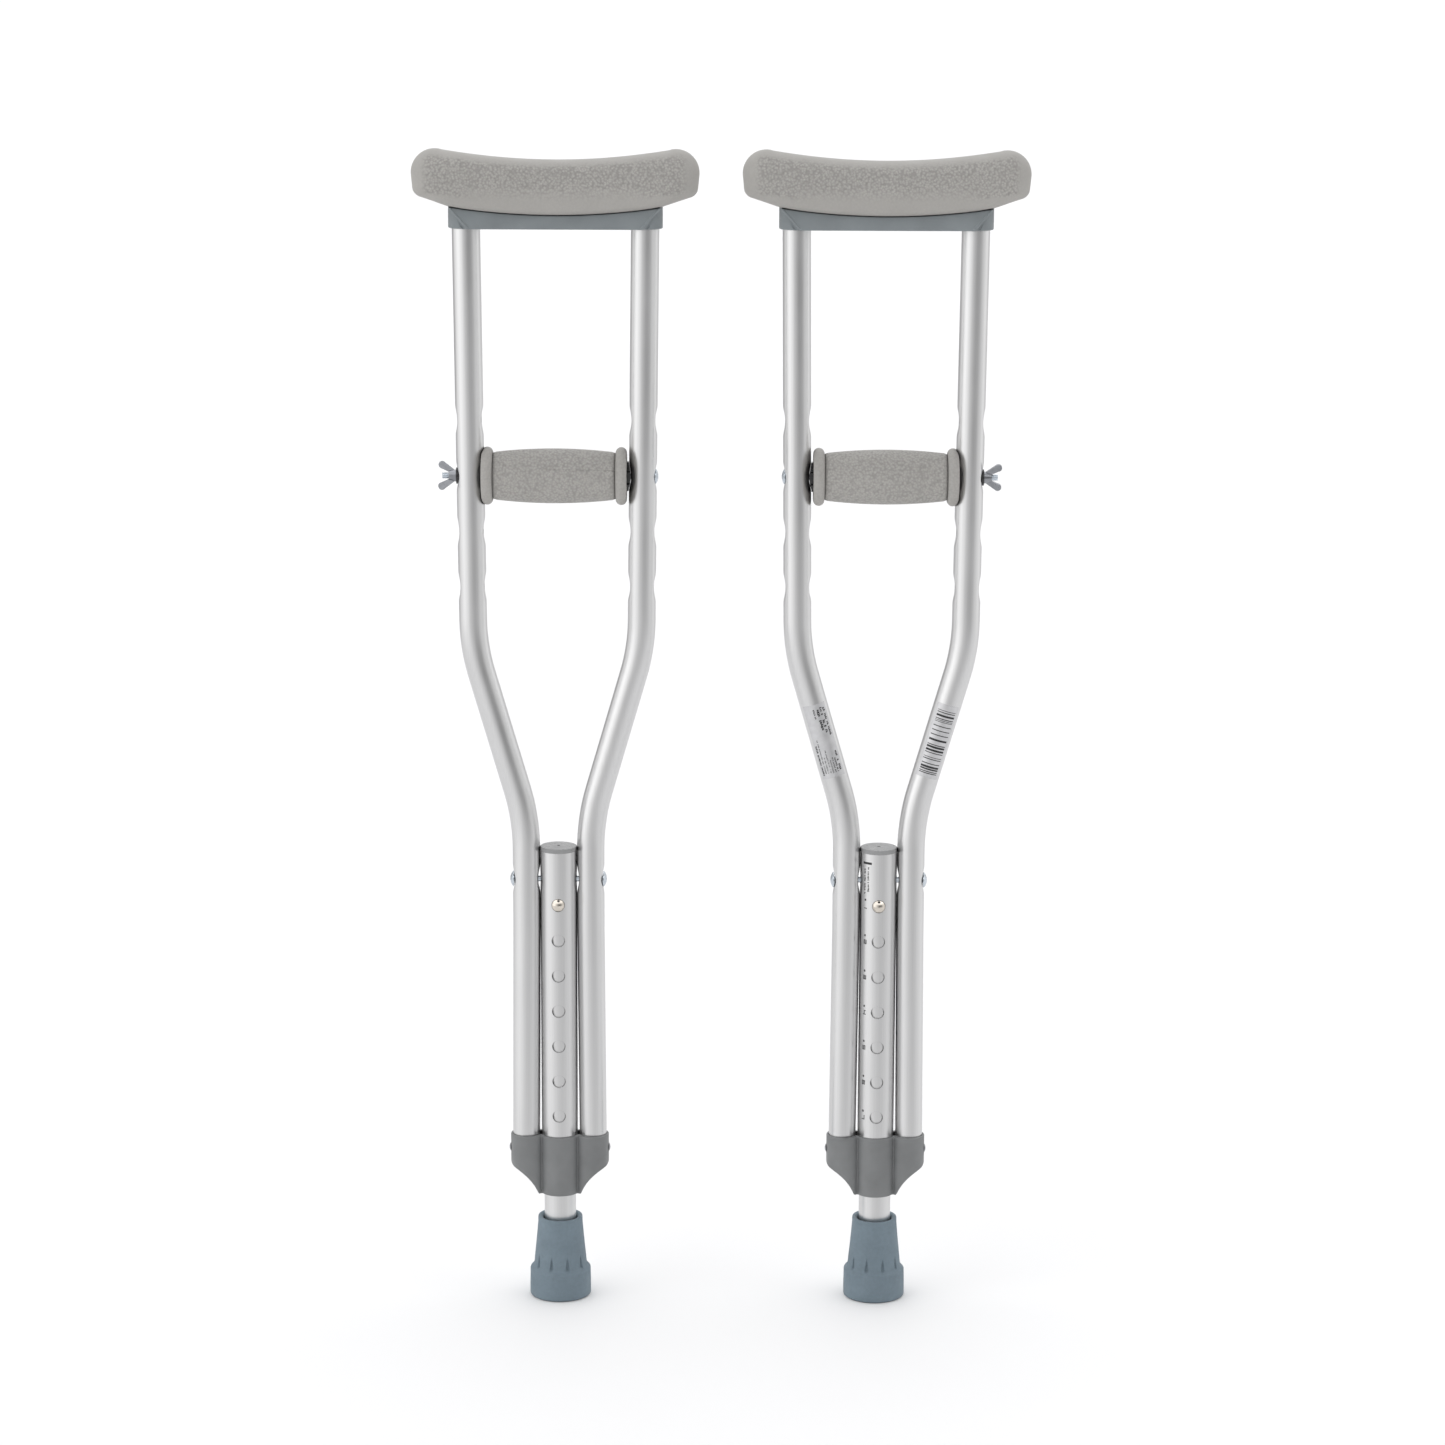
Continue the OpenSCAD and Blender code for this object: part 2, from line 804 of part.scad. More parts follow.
for (side = SIDES) {
    stand(side) underarm_cushion();
    stand(side) underarm_bracket();
    stand(side) outer_bow();
    stand(side) inner_bow();
    stand(side) centre_tube();
    stand(side) tube_cap();
    stand(side) cross_bolt();
    stand(side) cross_bolt_nut();
    stand(side) yoke();
    stand(side) yoke_rivets();
    stand(side) labels();
    stand(side) grip_cushion();
    stand(side) grip_core();
    stand(side) grip_bolt();
    stand(side) saddle_washer();
    stand(side) wing_nut();
    stand(side) leg_tube();
    stand(side) front_button();
    stand(side) rear_button();
    stand(side) button_spring();
    stand(side) rubber_tip();
    stand(side) tip_washer();
}
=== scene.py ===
"""A pair of aluminium underarm crutches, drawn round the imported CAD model.

Each crutch is drawn in its own frame, in millimetres: +Z up, -Y its marked front, +X its outer
side, where the wing nut is. stand() puts it in its place in the pair: the right crutch as it is,
the left one turned half a turn.
"""

import json
import math
import random

import bmesh
import bpy
from mathutils import Matrix, Vector


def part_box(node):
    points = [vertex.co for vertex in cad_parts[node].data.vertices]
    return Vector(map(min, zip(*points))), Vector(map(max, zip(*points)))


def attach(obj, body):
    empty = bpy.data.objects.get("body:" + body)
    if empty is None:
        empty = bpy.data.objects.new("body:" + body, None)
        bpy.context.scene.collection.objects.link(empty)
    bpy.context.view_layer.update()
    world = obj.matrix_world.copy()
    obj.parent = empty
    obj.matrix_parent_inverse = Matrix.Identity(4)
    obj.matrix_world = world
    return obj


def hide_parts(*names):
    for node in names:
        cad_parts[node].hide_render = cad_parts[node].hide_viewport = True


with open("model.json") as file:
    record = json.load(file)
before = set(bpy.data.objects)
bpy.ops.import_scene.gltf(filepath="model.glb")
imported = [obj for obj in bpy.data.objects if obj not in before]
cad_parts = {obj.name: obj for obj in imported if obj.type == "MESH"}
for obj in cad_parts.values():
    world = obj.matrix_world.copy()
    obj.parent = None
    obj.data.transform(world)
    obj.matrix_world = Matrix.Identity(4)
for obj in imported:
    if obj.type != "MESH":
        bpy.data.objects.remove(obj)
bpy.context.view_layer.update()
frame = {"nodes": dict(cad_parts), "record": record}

MM = 0.001
SIDES = ("left", "right")


# ---- camera

def make_camera():
    """Level with the pads, looking a little down, as far off as the photograph's perspective."""
    camera = bpy.data.objects.new("camera", bpy.data.cameras.new("camera"))
    bpy.context.scene.collection.objects.link(camera)
    camera.data.sensor_width = 36
    camera.data.lens = 97.2
    camera.data.clip_end = 200
    pitch, roll = math.radians(-11.8), math.radians(0.22)
    camera.matrix_world = (Matrix.Translation((0.0023, -2.63, 0.963))
                           @ Matrix.Rotation(math.pi / 2 + pitch, 4, "X")
                           @ Matrix.Rotation(roll, 4, "Z"))
    bpy.context.scene.camera = camera


make_camera()


# ---- places in a crutch

def stand(side):
    """The place of one crutch in the pair."""
    low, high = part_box(f"{side}_centre_tube")
    turn = math.pi if side == "left" else 0
    return Matrix.Translation(((low.x + high.x) / 2, 0, 0)) @ Matrix.Rotation(turn, 4, "Z")


def top_of(node):
    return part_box(node)[1].z / MM


def foot_of(node):
    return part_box(node)[0].z / MM


def middle_of(node):
    return (top_of(node) + foot_of(node)) / 2


def half_width(node, axis=0):
    low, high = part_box(node)
    return (high[axis] - low[axis]) / 2 / MM


BOW_R = 9.525
CENTRE_R = half_width("right_centre_tube")
BOW_FOOT_HALF = CENTRE_R + BOW_R + 0.3
BOW_STEP = 35
LOWER_BEND_Z = 346
UPPER_BEND_Z = LOWER_BEND_Z + BOW_STEP * 24 / 7
BEND_R = 140
DIMPLE_R = 25
DIMPLE_DEPTH = 1.5
SLANT = math.atan(7 / 24)
UPPER_TURN = math.radians(15.74)
HEAD_LEAN = SLANT - UPPER_TURN
BOW_FOOT_Z = foot_of("right_outer_bow")
BOW_HEAD_Z = top_of("right_outer_bow")
GRIP_Z = middle_of("right_grip_core")
GRIP_PITCH = 38.1
GRIP_HOLES = [GRIP_Z + GRIP_PITCH * i for i in (1, 0, -1, -2)]
CROSS_BOLT_Z = middle_of("right_cross_bolt")
HEIGHT_HOLE_PITCH = 25.4
BUTTON_Z = middle_of("right_front_button")
HEIGHT_HOLES = [BUTTON_Z - HEIGHT_HOLE_PITCH * i for i in range(7)]
# a bow's foot is pressed in from PRESSED_REACH below the bend and spread below SPREAD_TOP_Z
FOOT_PRESSED = 0.27
PRESSED_REACH = 26
FOOT_SPREAD = 1.2
SPREAD_TOP_Z = 268
SPREAD_REACH = 160


def foot_shift(z):
    """How far out a bow's foot is sprung from its upright line: pressed against the centre tube
    below the lower bend, spread a little at the yoke."""
    pressed = FOOT_PRESSED * (1 - smoothstep(LOWER_BEND_Z - PRESSED_REACH, LOWER_BEND_Z, z))
    return FOOT_SPREAD * min(1, max(0, (SPREAD_TOP_Z - z) / SPREAD_REACH)) - pressed


def bow_x(z):
    """Distance of the upright head of a bow from the crutch's centre line."""
    return BOW_FOOT_HALF + BOW_STEP + (z - UPPER_BEND_Z) * math.tan(HEAD_LEAN)


# ---- materials

class Nodes:
    """Short calls for adding nodes to one shader tree."""

    def __init__(self, tree, place="Object"):
        self.tree = tree
        self.shader = tree.nodes.get("Principled BSDF")
        self.place = self.add("ShaderNodeTexCoord").outputs[place]
        self.normal = None

    def add(self, kind, inputs=None, **settings):
        """A new node; inputs gives sockets, by name or number, a plain value or a link."""
        node = self.tree.nodes.new(kind)
        for key, value in settings.items():
            setattr(node, key, value)
        for key, value in (inputs or {}).items():
            if isinstance(value, bpy.types.NodeSocket):
                self.tree.links.new(value, node.inputs[key])
            else:
                node.inputs[key].default_value = value
        return node

    def noise(self, scale, detail=3, stretch=None):
        place = self.place
        if stretch:
            place = self.add("ShaderNodeMapping", {"Vector": place, "Scale": stretch}).outputs["Vector"]
        inputs = {"Vector": place, "Scale": scale, "Detail": detail}
        return self.add("ShaderNodeTexNoise", inputs).outputs["Fac"]

    def cells(self, scale, smooth):
        inputs = {"Vector": self.place, "Scale": scale, "Smoothness": smooth}
        return self.add("ShaderNodeTexVoronoi", inputs, feature="SMOOTH_F1").outputs["Distance"]

    def math(self, operation, a, b):
        return self.add("ShaderNodeMath", {0: a, 1: b}, operation=operation).outputs[0]

    def times(self, a, b):
        return self.math("MULTIPLY", a, b)

    def plus(self, a, b):
        return self.math("ADD", a, b)

    def ramp(self, factor, low, high, to_low=0.0, to_high=1.0, curve="LINEAR"):
        inputs = {"Value": factor, "From Min": low, "From Max": high, "To Min": to_low, "To Max": to_high}
        node = self.add("ShaderNodeMapRange", inputs, clamp=True, interpolation_type=curve)
        return node.outputs["Result"]

    def mix(self, factor, a, b, how="MIX"):
        inputs = {"Factor": factor, "A": a, "B": b}
        return self.add("ShaderNodeMix", inputs, data_type="RGBA", blend_type=how).outputs["Result"]

    def paint(self, colour):
        self.tree.links.new(colour, self.shader.inputs["Base Color"])
        return colour

    def tint(self, factor, dark, light):
        """Base colour between two colours."""
        return self.paint(self.mix(factor, (*dark, 1), (*light, 1)))

    def paint_shade(self, colour, open_space, least):
        """Painted shade: base colour times a factor that goes from least, where open_space is 0, to 1."""
        self.paint(self.mix(1, colour, self.ramp(open_space, 0, 1, least, 1), "MULTIPLY"))

    def roughness(self, factor, low, high):
        self.tree.links.new(self.ramp(factor, 0.3, 0.7, low, high), self.shader.inputs["Roughness"])

    def turn_normal(self, kind, inputs, **settings):
        self.normal = self.add(kind, inputs, **settings).outputs["Normal"]
        self.tree.links.new(self.normal, self.shader.inputs["Normal"])

    def bump(self, height, depth_mm):
        """Relief of that depth where height goes from 0 to 1; calls add up."""
        inputs = {"Height": height, "Distance": depth_mm * MM, "Strength": 1}
        if self.normal:
            inputs["Normal"] = self.normal
        self.turn_normal("ShaderNodeBump", inputs)

    def soft_edges(self, radius_mm):
        """Edges catch the light as if they were rounded; goes before bump()."""
        self.turn_normal("ShaderNodeBevel", {"Radius": radius_mm * MM}, samples=6)

    def crevices(self, reach_mm, low, high):
        """0 deep in a narrow gap or hole, 1 on open surfaces: the mask for painted shade."""
        node = self.add("ShaderNodeAmbientOcclusion", {"Distance": reach_mm * MM}, samples=6)
        return self.ramp(node.outputs["AO"], low, high)

    def edge_mask(self, radius_mm):
        """1 at edges, 0 on faces: how far the rounded normal turns from the true one; the mask for edges
        painted lighter, as a painted highlight and as wear.
        """
        rounded = self.add("ShaderNodeBevel", {"Radius": radius_mm * MM}, samples=6).outputs["Normal"]
        true = self.add("ShaderNodeNewGeometry").outputs["Normal"]
        dot = self.add("ShaderNodeVectorMath", {0: rounded, 1: true}, operation="DOT_PRODUCT")
        return self.ramp(dot.outputs["Value"], 0.99, 0.85)


def new_material(name, colour, roughness, metallic=0.0, gloss=0.5):
    """A Principled material and the calls for its nodes."""
    mat = bpy.data.materials.new(name)
    mat.use_nodes = True
    n = Nodes(mat.node_tree)
    for key, value in (("Base Color", (*colour, 1)), ("Roughness", roughness), ("Metallic", metallic),
                       ("Specular IOR Level", gloss)):
        n.shader.inputs[key].default_value = value
    return mat, n


def shade(colour, factor):
    return tuple(min(1.0, c * factor) for c in colour)


def foam_material():
    """Moulded foam rubber with a pebble grain where the mesh's grain attribute is 1.
    Each pebble has a painted highlight in its middle and painted shade at its border, and the crevices
    have painted shade.
    """
    colour = (0.392, 0.380, 0.360)
    mat, n = new_material("foam_rubber", colour, 0.62, gloss=0.35)
    grain = n.add("ShaderNodeAttribute", attribute_name="grain").outputs["Fac"]
    cell = n.cells(600, 0.2)
    cloudy = n.times(n.noise(38, 4), 0.2)
    # painted highlight and shade: each pebble is lighter in its middle and darker at its low border
    pebble_highlight_and_shade = n.times(n.math("SUBTRACT", 0.42, cell), n.times(grain, 0.95))
    tone = n.plus(n.plus(cloudy, pebble_highlight_and_shade), 0.38)
    mixed = n.tint(n.ramp(tone, 0.2, 0.8), shade(colour, 0.80), shade(colour, 1.2))
    # painted shade: the foam is darkened in its creases and gaps
    n.paint_shade(mixed, n.crevices(5, 0.25, 0.75), 0.45)
    n.roughness(n.noise(90), 0.55, 0.72)
    n.bump(n.times(cell, grain), -0.75)
    n.bump(n.noise(2600, 2), 0.02)
    return mat


def moulded_plastic(name, colour, edge, roughness=0.42, edge_mm=0.7):
    """Satin moulded plastic: faint grain, soft edges painted lighter as a painted highlight and as wear,
    handling marks, and painted shade in its crevices.
    """
    mat, n = new_material(name, colour, roughness)
    # painted highlight along the edges, with some wear
    edge_highlight_and_wear = n.edge_mask(edge_mm)
    mixed = n.tint(n.plus(n.times(n.noise(55, 4), 0.5), n.times(edge_highlight_and_wear, 0.75)),
                   shade(colour, 0.9), shade(colour, edge))
    # painted shade in the crevices
    n.paint_shade(mixed, n.crevices(4, 0.25, 0.7), 0.35)
    n.roughness(n.noise(120), roughness - 0.08, roughness + 0.1)
    n.soft_edges(edge_mm)
    n.bump(n.noise(1500, 2), 0.018)
    return mat


def tip_material():
    """Blue-grey moulded rubber, matt and a little dusty, with painted shade in its low places and edges
    painted paler, as a painted highlight and as wear.
    """
    colour = (0.172, 0.224, 0.262)
    mat, n = new_material("tip_rubber", colour, 0.6, gloss=0.4)
    dust = n.plus(n.times(n.noise(70, 5), 0.6), n.times(n.noise(420), 0.35))
    # painted highlight along the edges, with some wear
    edge_highlight_and_wear = n.times(n.edge_mask(0.6), 0.5)
    mixed = n.tint(n.plus(n.ramp(dust, 0.3, 0.68), edge_highlight_and_wear), shade(colour, 0.88), shade(colour, 1.12))
    # painted shade in the flutes and low places
    n.paint_shade(mixed, n.crevices(2, 0.3, 0.75), 0.45)
    n.roughness(n.noise(160), 0.52, 0.7)
    n.bump(n.noise(1100), 0.03)
    return mat


def satin_aluminium():
    """Anodised tube: fine drawing lines along its length and a faint blotchy satin. Narrow gaps
    and the rims of holes are painted dark, as painted shade."""
    colour = (0.79, 0.79, 0.79)
    mat, n = new_material("satin_aluminium", colour, 0.3, metallic=1.0)
    lines = n.noise(1.0, stretch=(1700, 1700, 14))
    blotches = n.noise(26, stretch=(1, 1, 0.5))
    both = n.plus(n.times(lines, 0.5), n.times(blotches, 0.5))
    mixed = n.tint(n.ramp(both, 0.3, 0.7), shade(colour, 0.94), shade(colour, 1.05))
    # painted shade: narrow gaps and hole rims go nearly black
    n.paint_shade(mixed, n.crevices(1.6, 0.2, 0.62), 0.04)
    n.roughness(blotches, 0.28, 0.37)
    n.bump(lines, 0.006)
    return mat


def plated_metal(name, colour, roughness):
    """Bright plating, slightly cloudy, with painted shade in its recesses."""
    mat, n = new_material(name, colour, roughness, metallic=1.0)
    mixed = n.tint(n.ramp(n.noise(240), 0.3, 0.7), shade(colour, 0.88), shade(colour, 1.08))
    # painted shade in the recesses
    n.paint_shade(mixed, n.crevices(1.5, 0.2, 0.7), 0.12)
    n.roughness(n.noise(500), roughness * 0.8, roughness * 1.35)
    n.soft_edges(0.25)
    n.bump(n.noise(1900, 2), 0.008)
    return mat


def film_material():
    """Silvery label film over the tube, a little mottled."""
    colour = (0.66, 0.66, 0.67)
    mat, n = new_material("label_film", colour, 0.33, metallic=0.6)
    n.tint(n.ramp(n.noise(210, 4), 0.3, 0.7), shade(colour, 0.93), shade(colour, 1.06))
    n.roughness(n.noise(330), 0.28, 0.42)
    n.bump(n.noise(420, 2), 0.01)
    return mat


def ink_material():
    """Black print, a little worn."""
    colour = (0.012, 0.012, 0.013)
    mat, n = new_material("print_ink", colour, 0.5)
    n.tint(n.ramp(n.noise(900), 0.35, 0.75), colour, (0.05, 0.05, 0.052))
    n.roughness(n.noise(700), 0.4, 0.6)
    n.bump(n.noise(2400, 2), 0.004)
    return mat


def floor_material():
    """Pale studio floor."""
    mat, n = new_material("floor", (0.93, 0.93, 0.93), 0.7, gloss=0.2)
    n.tint(n.noise(2.5, 2), (0.925, 0.925, 0.925), (0.94, 0.94, 0.94))
    return mat


FOAM = foam_material()
BRACKET = moulded_plastic("bracket_plastic", (0.188, 0.209, 0.219), edge=1.8)
YOKE = moulded_plastic("yoke_plastic", (0.172, 0.177, 0.179), edge=1.9)
BLACK = moulded_plastic("black_plastic", (0.022, 0.022, 0.023), edge=2.6, roughness=0.26, edge_mm=0.3)
RUBBER = tip_material()
ALUMINIUM = satin_aluminium()
ZINC = plated_metal("zinc_steel", (0.70, 0.76, 0.82), 0.27)
NICKEL = plated_metal("nickel_button", (0.80, 0.74, 0.66), 0.13)
FILM = film_material()
CAP = moulded_plastic("cap_plastic", (0.295, 0.298, 0.30), edge=1.3, roughness=0.3, edge_mm=0.4)
DARK_ZINC = plated_metal("dark_zinc", (0.34, 0.35, 0.37), 0.3)
INK = ink_material()

SLOT_MATERIALS = dict(foam_rubber=FOAM, bracket_plastic=BRACKET, yoke_plastic=YOKE,
                      black_plastic=BLACK, tip_rubber=RUBBER, satin_aluminium=ALUMINIUM,
                      zinc_steel=ZINC, nickel_button=NICKEL, label_film=FILM)
# nodes whose tone differs from the others of their slot
OWN_MATERIALS = {"tube_cap": CAP, "wing_nut": DARK_ZINC, "yoke_rivets": DARK_ZINC}


def dress_nodes():
    """Every CAD node gets the material of its slot, or its own."""
    for part in frame["record"]["subparts"]:
        obj = frame["nodes"][part["node"]]
        obj.data.materials.clear()
        kind = part["node"].split("_", 1)[1]
        obj.data.materials.append(OWN_MATERIALS.get(kind) or SLOT_MATERIALS[part["material_slot"]])


dress_nodes()


# ---- mesh making

def loft(rings, closed=False):
    """Points and faces of a skin over rings of equally many points. Each ring is a closed loop;
    with closed, the last ring joins the first, otherwise both ends are capped."""
    count = len(rings[0])
    points = [point for ring in rings for point in ring]
    faces = []
    steps = len(rings) if closed else len(rings) - 1
    for i in range(steps):
        here, there = i * count, (i + 1) % len(rings) * count
        for j in range(count):
            k = (j + 1) % count
            faces.append((here + j, here + k, there + k, there + j))
    if not closed:
        faces.append(tuple(reversed(range(count))))
        faces.append(tuple(range(len(points) - count, len(points))))
    return points, faces


def new_object(name, points, faces, side, weld=0.0, smooth_angle=40):
    """A mesh from points in a crutch's own frame, in mm, put in its place in the pair."""
    mesh = bpy.data.meshes.new(name)
    mesh.from_pydata([Vector(p) * MM for p in points], [], faces)
    mesh.transform(stand(side))
    mesh.validate()
    obj = bpy.data.objects.new(name, mesh)
    bpy.context.scene.collection.objects.link(obj)
    tidy_mesh(obj, weld, smooth_angle)
    return obj


def make_piece(name, points, faces, side, part, material, slot, weld=0.0, smooth_angle=40):
    """A mesh piece that rides on one of its crutch's bodies."""
    obj = new_object(f"{side}_{name}", points, faces, side, weld, smooth_angle)
    obj.data.materials.append(material)
    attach(obj, f"{side}_{part}")
    return obj


def tidy_mesh(obj, weld, smooth_angle):
    """Weld doubled points, turn all faces outwards and shade smooth up to an angle."""
    bm = bmesh.new()
    bm.from_mesh(obj.data)
    if weld:
        bmesh.ops.remove_doubles(bm, verts=bm.verts, dist=weld * MM)
    bmesh.ops.recalc_face_normals(bm, faces=bm.faces)
    bm.to_mesh(obj.data)
    bm.free()
    shade_smooth(obj, smooth_angle)


def shade_smooth(obj, angle):
    """Smooth shading, up to an angle in degrees between two faces."""
    obj.data.shade_smooth()
    obj.data.set_sharp_from_angle(angle=math.radians(angle))


def apply_modifiers(obj):
    bpy.context.view_layer.update()
    seen = obj.evaluated_get(bpy.context.evaluated_depsgraph_get())
    result = bpy.data.meshes.new_from_object(seen)
    obj.modifiers.clear()
    obj.data = result


def combine(obj, name, points, faces, side, operation="UNION", rounding=0):
    """Join a new solid, with its edges rounded first, to this one, or cut it away."""
    other = new_object(name, points, faces, side)
    if rounding:
        round_edges(other, rounding)
    step = obj.modifiers.new("combine", "BOOLEAN")
    step.operation = operation
    step.solver = "EXACT"
    step.object = other
    apply_modifiers(obj)
    bpy.data.objects.remove(other)


def cut(obj, name, points, faces, side):
    combine(obj, name, points, faces, side, "DIFFERENCE")


def round_edges(obj, width_mm):
    """Round every sharp edge of a solid."""
    step = obj.modifiers.new("round", "BEVEL")
    step.width = width_mm * MM
    step.segments = 3
    step.limit_method = "ANGLE"
    step.angle_limit = math.radians(30)
    apply_modifiers(obj)


def append(points, faces, more_points, more_faces):
    """Add one mesh's points and faces to another's."""
    faces += [tuple(i + len(points) for i in face) for face in more_faces]
    points += more_points


def round_bar(start, end, radius, count):
    """A plain cylinder between two points, as rings for loft()."""
    axis = (end - start).normalized()
    across = axis.orthogonal().normalized()
    other = axis.cross(across)
    rings = []
    for centre in (start, end):
        rings.append([centre + radius * (math.cos(a) * across + math.sin(a) * other)
                      for a in (2 * math.pi * k / count for k in range(count))])
    return loft(rings)


def block(low, high):
    """Points and faces of a box between two corners."""
    points = [Vector((x, y, z)) for x in (low[0], high[0]) for y in (low[1], high[1])
              for z in (low[2], high[2])]
    faces = [(0, 1, 3, 2), (4, 6, 7, 5), (0, 4, 5, 1), (2, 3, 7, 6), (0, 2, 6, 4), (1, 5, 7, 3)]
    return points, faces


def store_grain(obj, side, grain_at):
    """Keep a depth of grain for each point of the mesh, for its material to read; grain_at takes
    the point in the crutch's own frame, in mm."""
    back = stand(side).inverted()
    layer = obj.data.attributes.new("grain", "FLOAT", "POINT")
    layer.data.foreach_set("value", [grain_at(back @ v.co / MM) for v in obj.data.vertices])


def smoothstep(low, high, value):
    t = min(1.0, max(0.0, (value - low) / (high - low)))
    return t * t * (3 - 2 * t)


# ---- underarm pads

PAD_HALF = half_width("right_underarm_cushion")
PAD_DEPTH = half_width("right_underarm_cushion", 1)
PAD_FOOT_Z = foot_of("right_underarm_cushion")
PAD_SADDLE_Z = top_of("right_underarm_cushion") - 7.4
PAD_TOP_R = 443
PAD_UNDER_R = 474
PAD_END_R = 15.8
PAD_END = Vector((PAD_HALF - PAD_END_R, PAD_SADDLE_Z - 8.4))
PAD_CORNER_R = 7.2
PAD_CORNER = Vector((PAD_HALF - 8, PAD_FOOT_Z + 18.2))


def arc(centre, radius, start, end, steps):
    """Points of an arc in the XZ plane, angles in degrees."""
    angles = [math.radians(start + (end - start) * i / steps) for i in range(steps + 1)]
    centre = Vector(centre)
    return [centre + radius * Vector((math.cos(a), math.sin(a))) for a in angles]


def resampled(points, count):
    """The closed outline through points, as count points equally far apart."""
    loop = points + [points[0]]
    lengths = [0.0]
    for a, b in zip(loop, loop[1:]):
        lengths.append(lengths[-1] + (b - a).length)
    result, k = [], 0
    for i in range(count):
        target = lengths[-1] * i / count
        while lengths[k + 1] < target:
            k += 1
        share = (target - lengths[k]) / (lengths[k + 1] - lengths[k])
        result.append(loop[k].lerp(loop[k + 1], share))
    return result


def pad_outline(count):
    """The pad's outline seen from the front: saddle top, round ends, slack underside."""
    right = (arc((0, PAD_FOOT_Z + PAD_UNDER_R), PAD_UNDER_R, -90, -81.3, 12)
             + arc(PAD_CORNER, PAD_CORNER_R, -68, -14, 8)
             + arc(PAD_END, PAD_END_R, -10, 100, 16)
             + arc((0, PAD_SADDLE_Z + PAD_TOP_R), PAD_TOP_R, -79.9, -90, 12))
    left = [Vector((-p.x, p.y)) for p in reversed(right[1:-1])]
    return resampled(right + left, count)


def pad_grain(p):
    """Full on the faces, fading along the bottom edge, on the top and at the smooth ends."""
    inner = 1 - smoothstep(PAD_HALF - 14, PAD_HALF - 6, abs(p.x))
    above = smoothstep(PAD_FOOT_Z + 9.5, PAD_FOOT_Z + 12.5, p.z - 0.0005 * p.x * p.x)
    under_top = 1 - smoothstep(-5.5, -2.5, p.z - (PAD_SADDLE_Z + 0.00113 * p.x * p.x))
    face = smoothstep(0.45, 0.8, abs(p.y) / PAD_DEPTH)
    return max(0.12, inner * above * (0.25 + 0.75 * under_top)) * (0.3 + 0.7 * face)


def make_pad(side):
    """A crowned pad: its outline shrinks towards a line along its middle as it nears the front
    and back faces, by a soft curve on top, a rounder one at the ends and a tight one below."""
    spine_half = PAD_HALF - 19
    spine_z = (PAD_SADDLE_Z + PAD_FOOT_Z) / 2 + 1.5
    outline = pad_outline(220)
    layers = 44
    top_power, under_power, end_power = 3.2, 6.0, 2.3
    rings = []
    for i in range(layers + 1):
        turn = math.pi * i / layers
        y = -PAD_DEPTH * math.cos(turn)
        ring = []
        for p in outline:
            x = max(-spine_half, min(spine_half, p.x))
            spine = Vector((x, spine_z + 0.00045 * x * x))
            reach = p - spine
            near_end = smoothstep(PAD_HALF - 42, PAD_HALF - 6, abs(p.x))
            power = top_power if reach.y > 0 else under_power
            power = power * (1 - near_end) + end_power * near_end
            share = max(0.0, 1 - abs(math.cos(turn)) ** power) ** (1 / power)
            q = spine + reach * share
            ring.append(Vector((q.x, y, q.y)))
        rings.append(ring)
    pad = make_piece("pad", *loft(rings), side, "frame", FOAM, "foam_rubber", weld=0.02,
                     smooth_angle=80)
    store_grain(pad, side, pad_grain)
    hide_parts(f"{side}_underarm_cushion")


# ---- hand grips

GRIP_SHIFT = 1.6
GRIP_HALF = 49.3
GRIP_FLANGE_R = half_width("right_grip_cushion", 1)
GRIP_FLANGE_W = 7.6
GRIP_MIDDLE_R = 18.6
GRIP_END_R = 15.6
GRIP_BORE_R = 10.65


def grip_profile():
    """Half section of the grip, (x, radius), as a closed loop from one end of the bore."""
    round_r = GRIP_FLANGE_W / 2
    barrel_half = GRIP_HALF - round_r
    swell = GRIP_MIDDLE_R - GRIP_END_R
    barrel_arc = (barrel_half ** 2 + swell ** 2) / (2 * swell)
    flange_z = GRIP_FLANGE_R - round_r
    left = [(-GRIP_HALF + 0.6, GRIP_BORE_R), (-GRIP_HALF + 0.15, GRIP_BORE_R + 0.8),
            (-GRIP_HALF, GRIP_BORE_R + 2), (-GRIP_HALF, flange_z - 1.5)]
    for i in range(17):
        a = math.pi - math.pi * 1.12 * i / 16
        left.append((-barrel_half + round_r * math.cos(a), flange_z + round_r * math.sin(a)))
    barrel = []
    reach = barrel_half - round_r - 0.25
    for i in range(41):
        x = -reach + 2 * reach * i / 40
        edge = smoothstep(0, 1.6, reach - abs(x))
        radius = GRIP_MIDDLE_R - barrel_arc + math.sqrt(barrel_arc ** 2 - x * x)
        barrel.append((x, radius - 0.5 * (1 - edge)))
    right = [(-x, r) for x, r in reversed(left)]
    bore = [(GRIP_HALF * (0.9 - 0.3 * i), GRIP_BORE_R) for i in range(7)]
    return left + barrel + right + bore


def seam_depth(degrees, x):
    """A mould line along the barrel that fades out towards its outer end."""
    fade = 1 - smoothstep(GRIP_HALF * 0.05, GRIP_HALF * 0.45, x)
    return 0.34 * math.exp(-(degrees / 1.0) ** 2) * fade


def grip_grain(p):
    barrel_half = GRIP_HALF - GRIP_FLANGE_W
    return 0.3 + 0.5 * (1 - smoothstep(barrel_half - 2, barrel_half, abs(p.x - GRIP_SHIFT)))


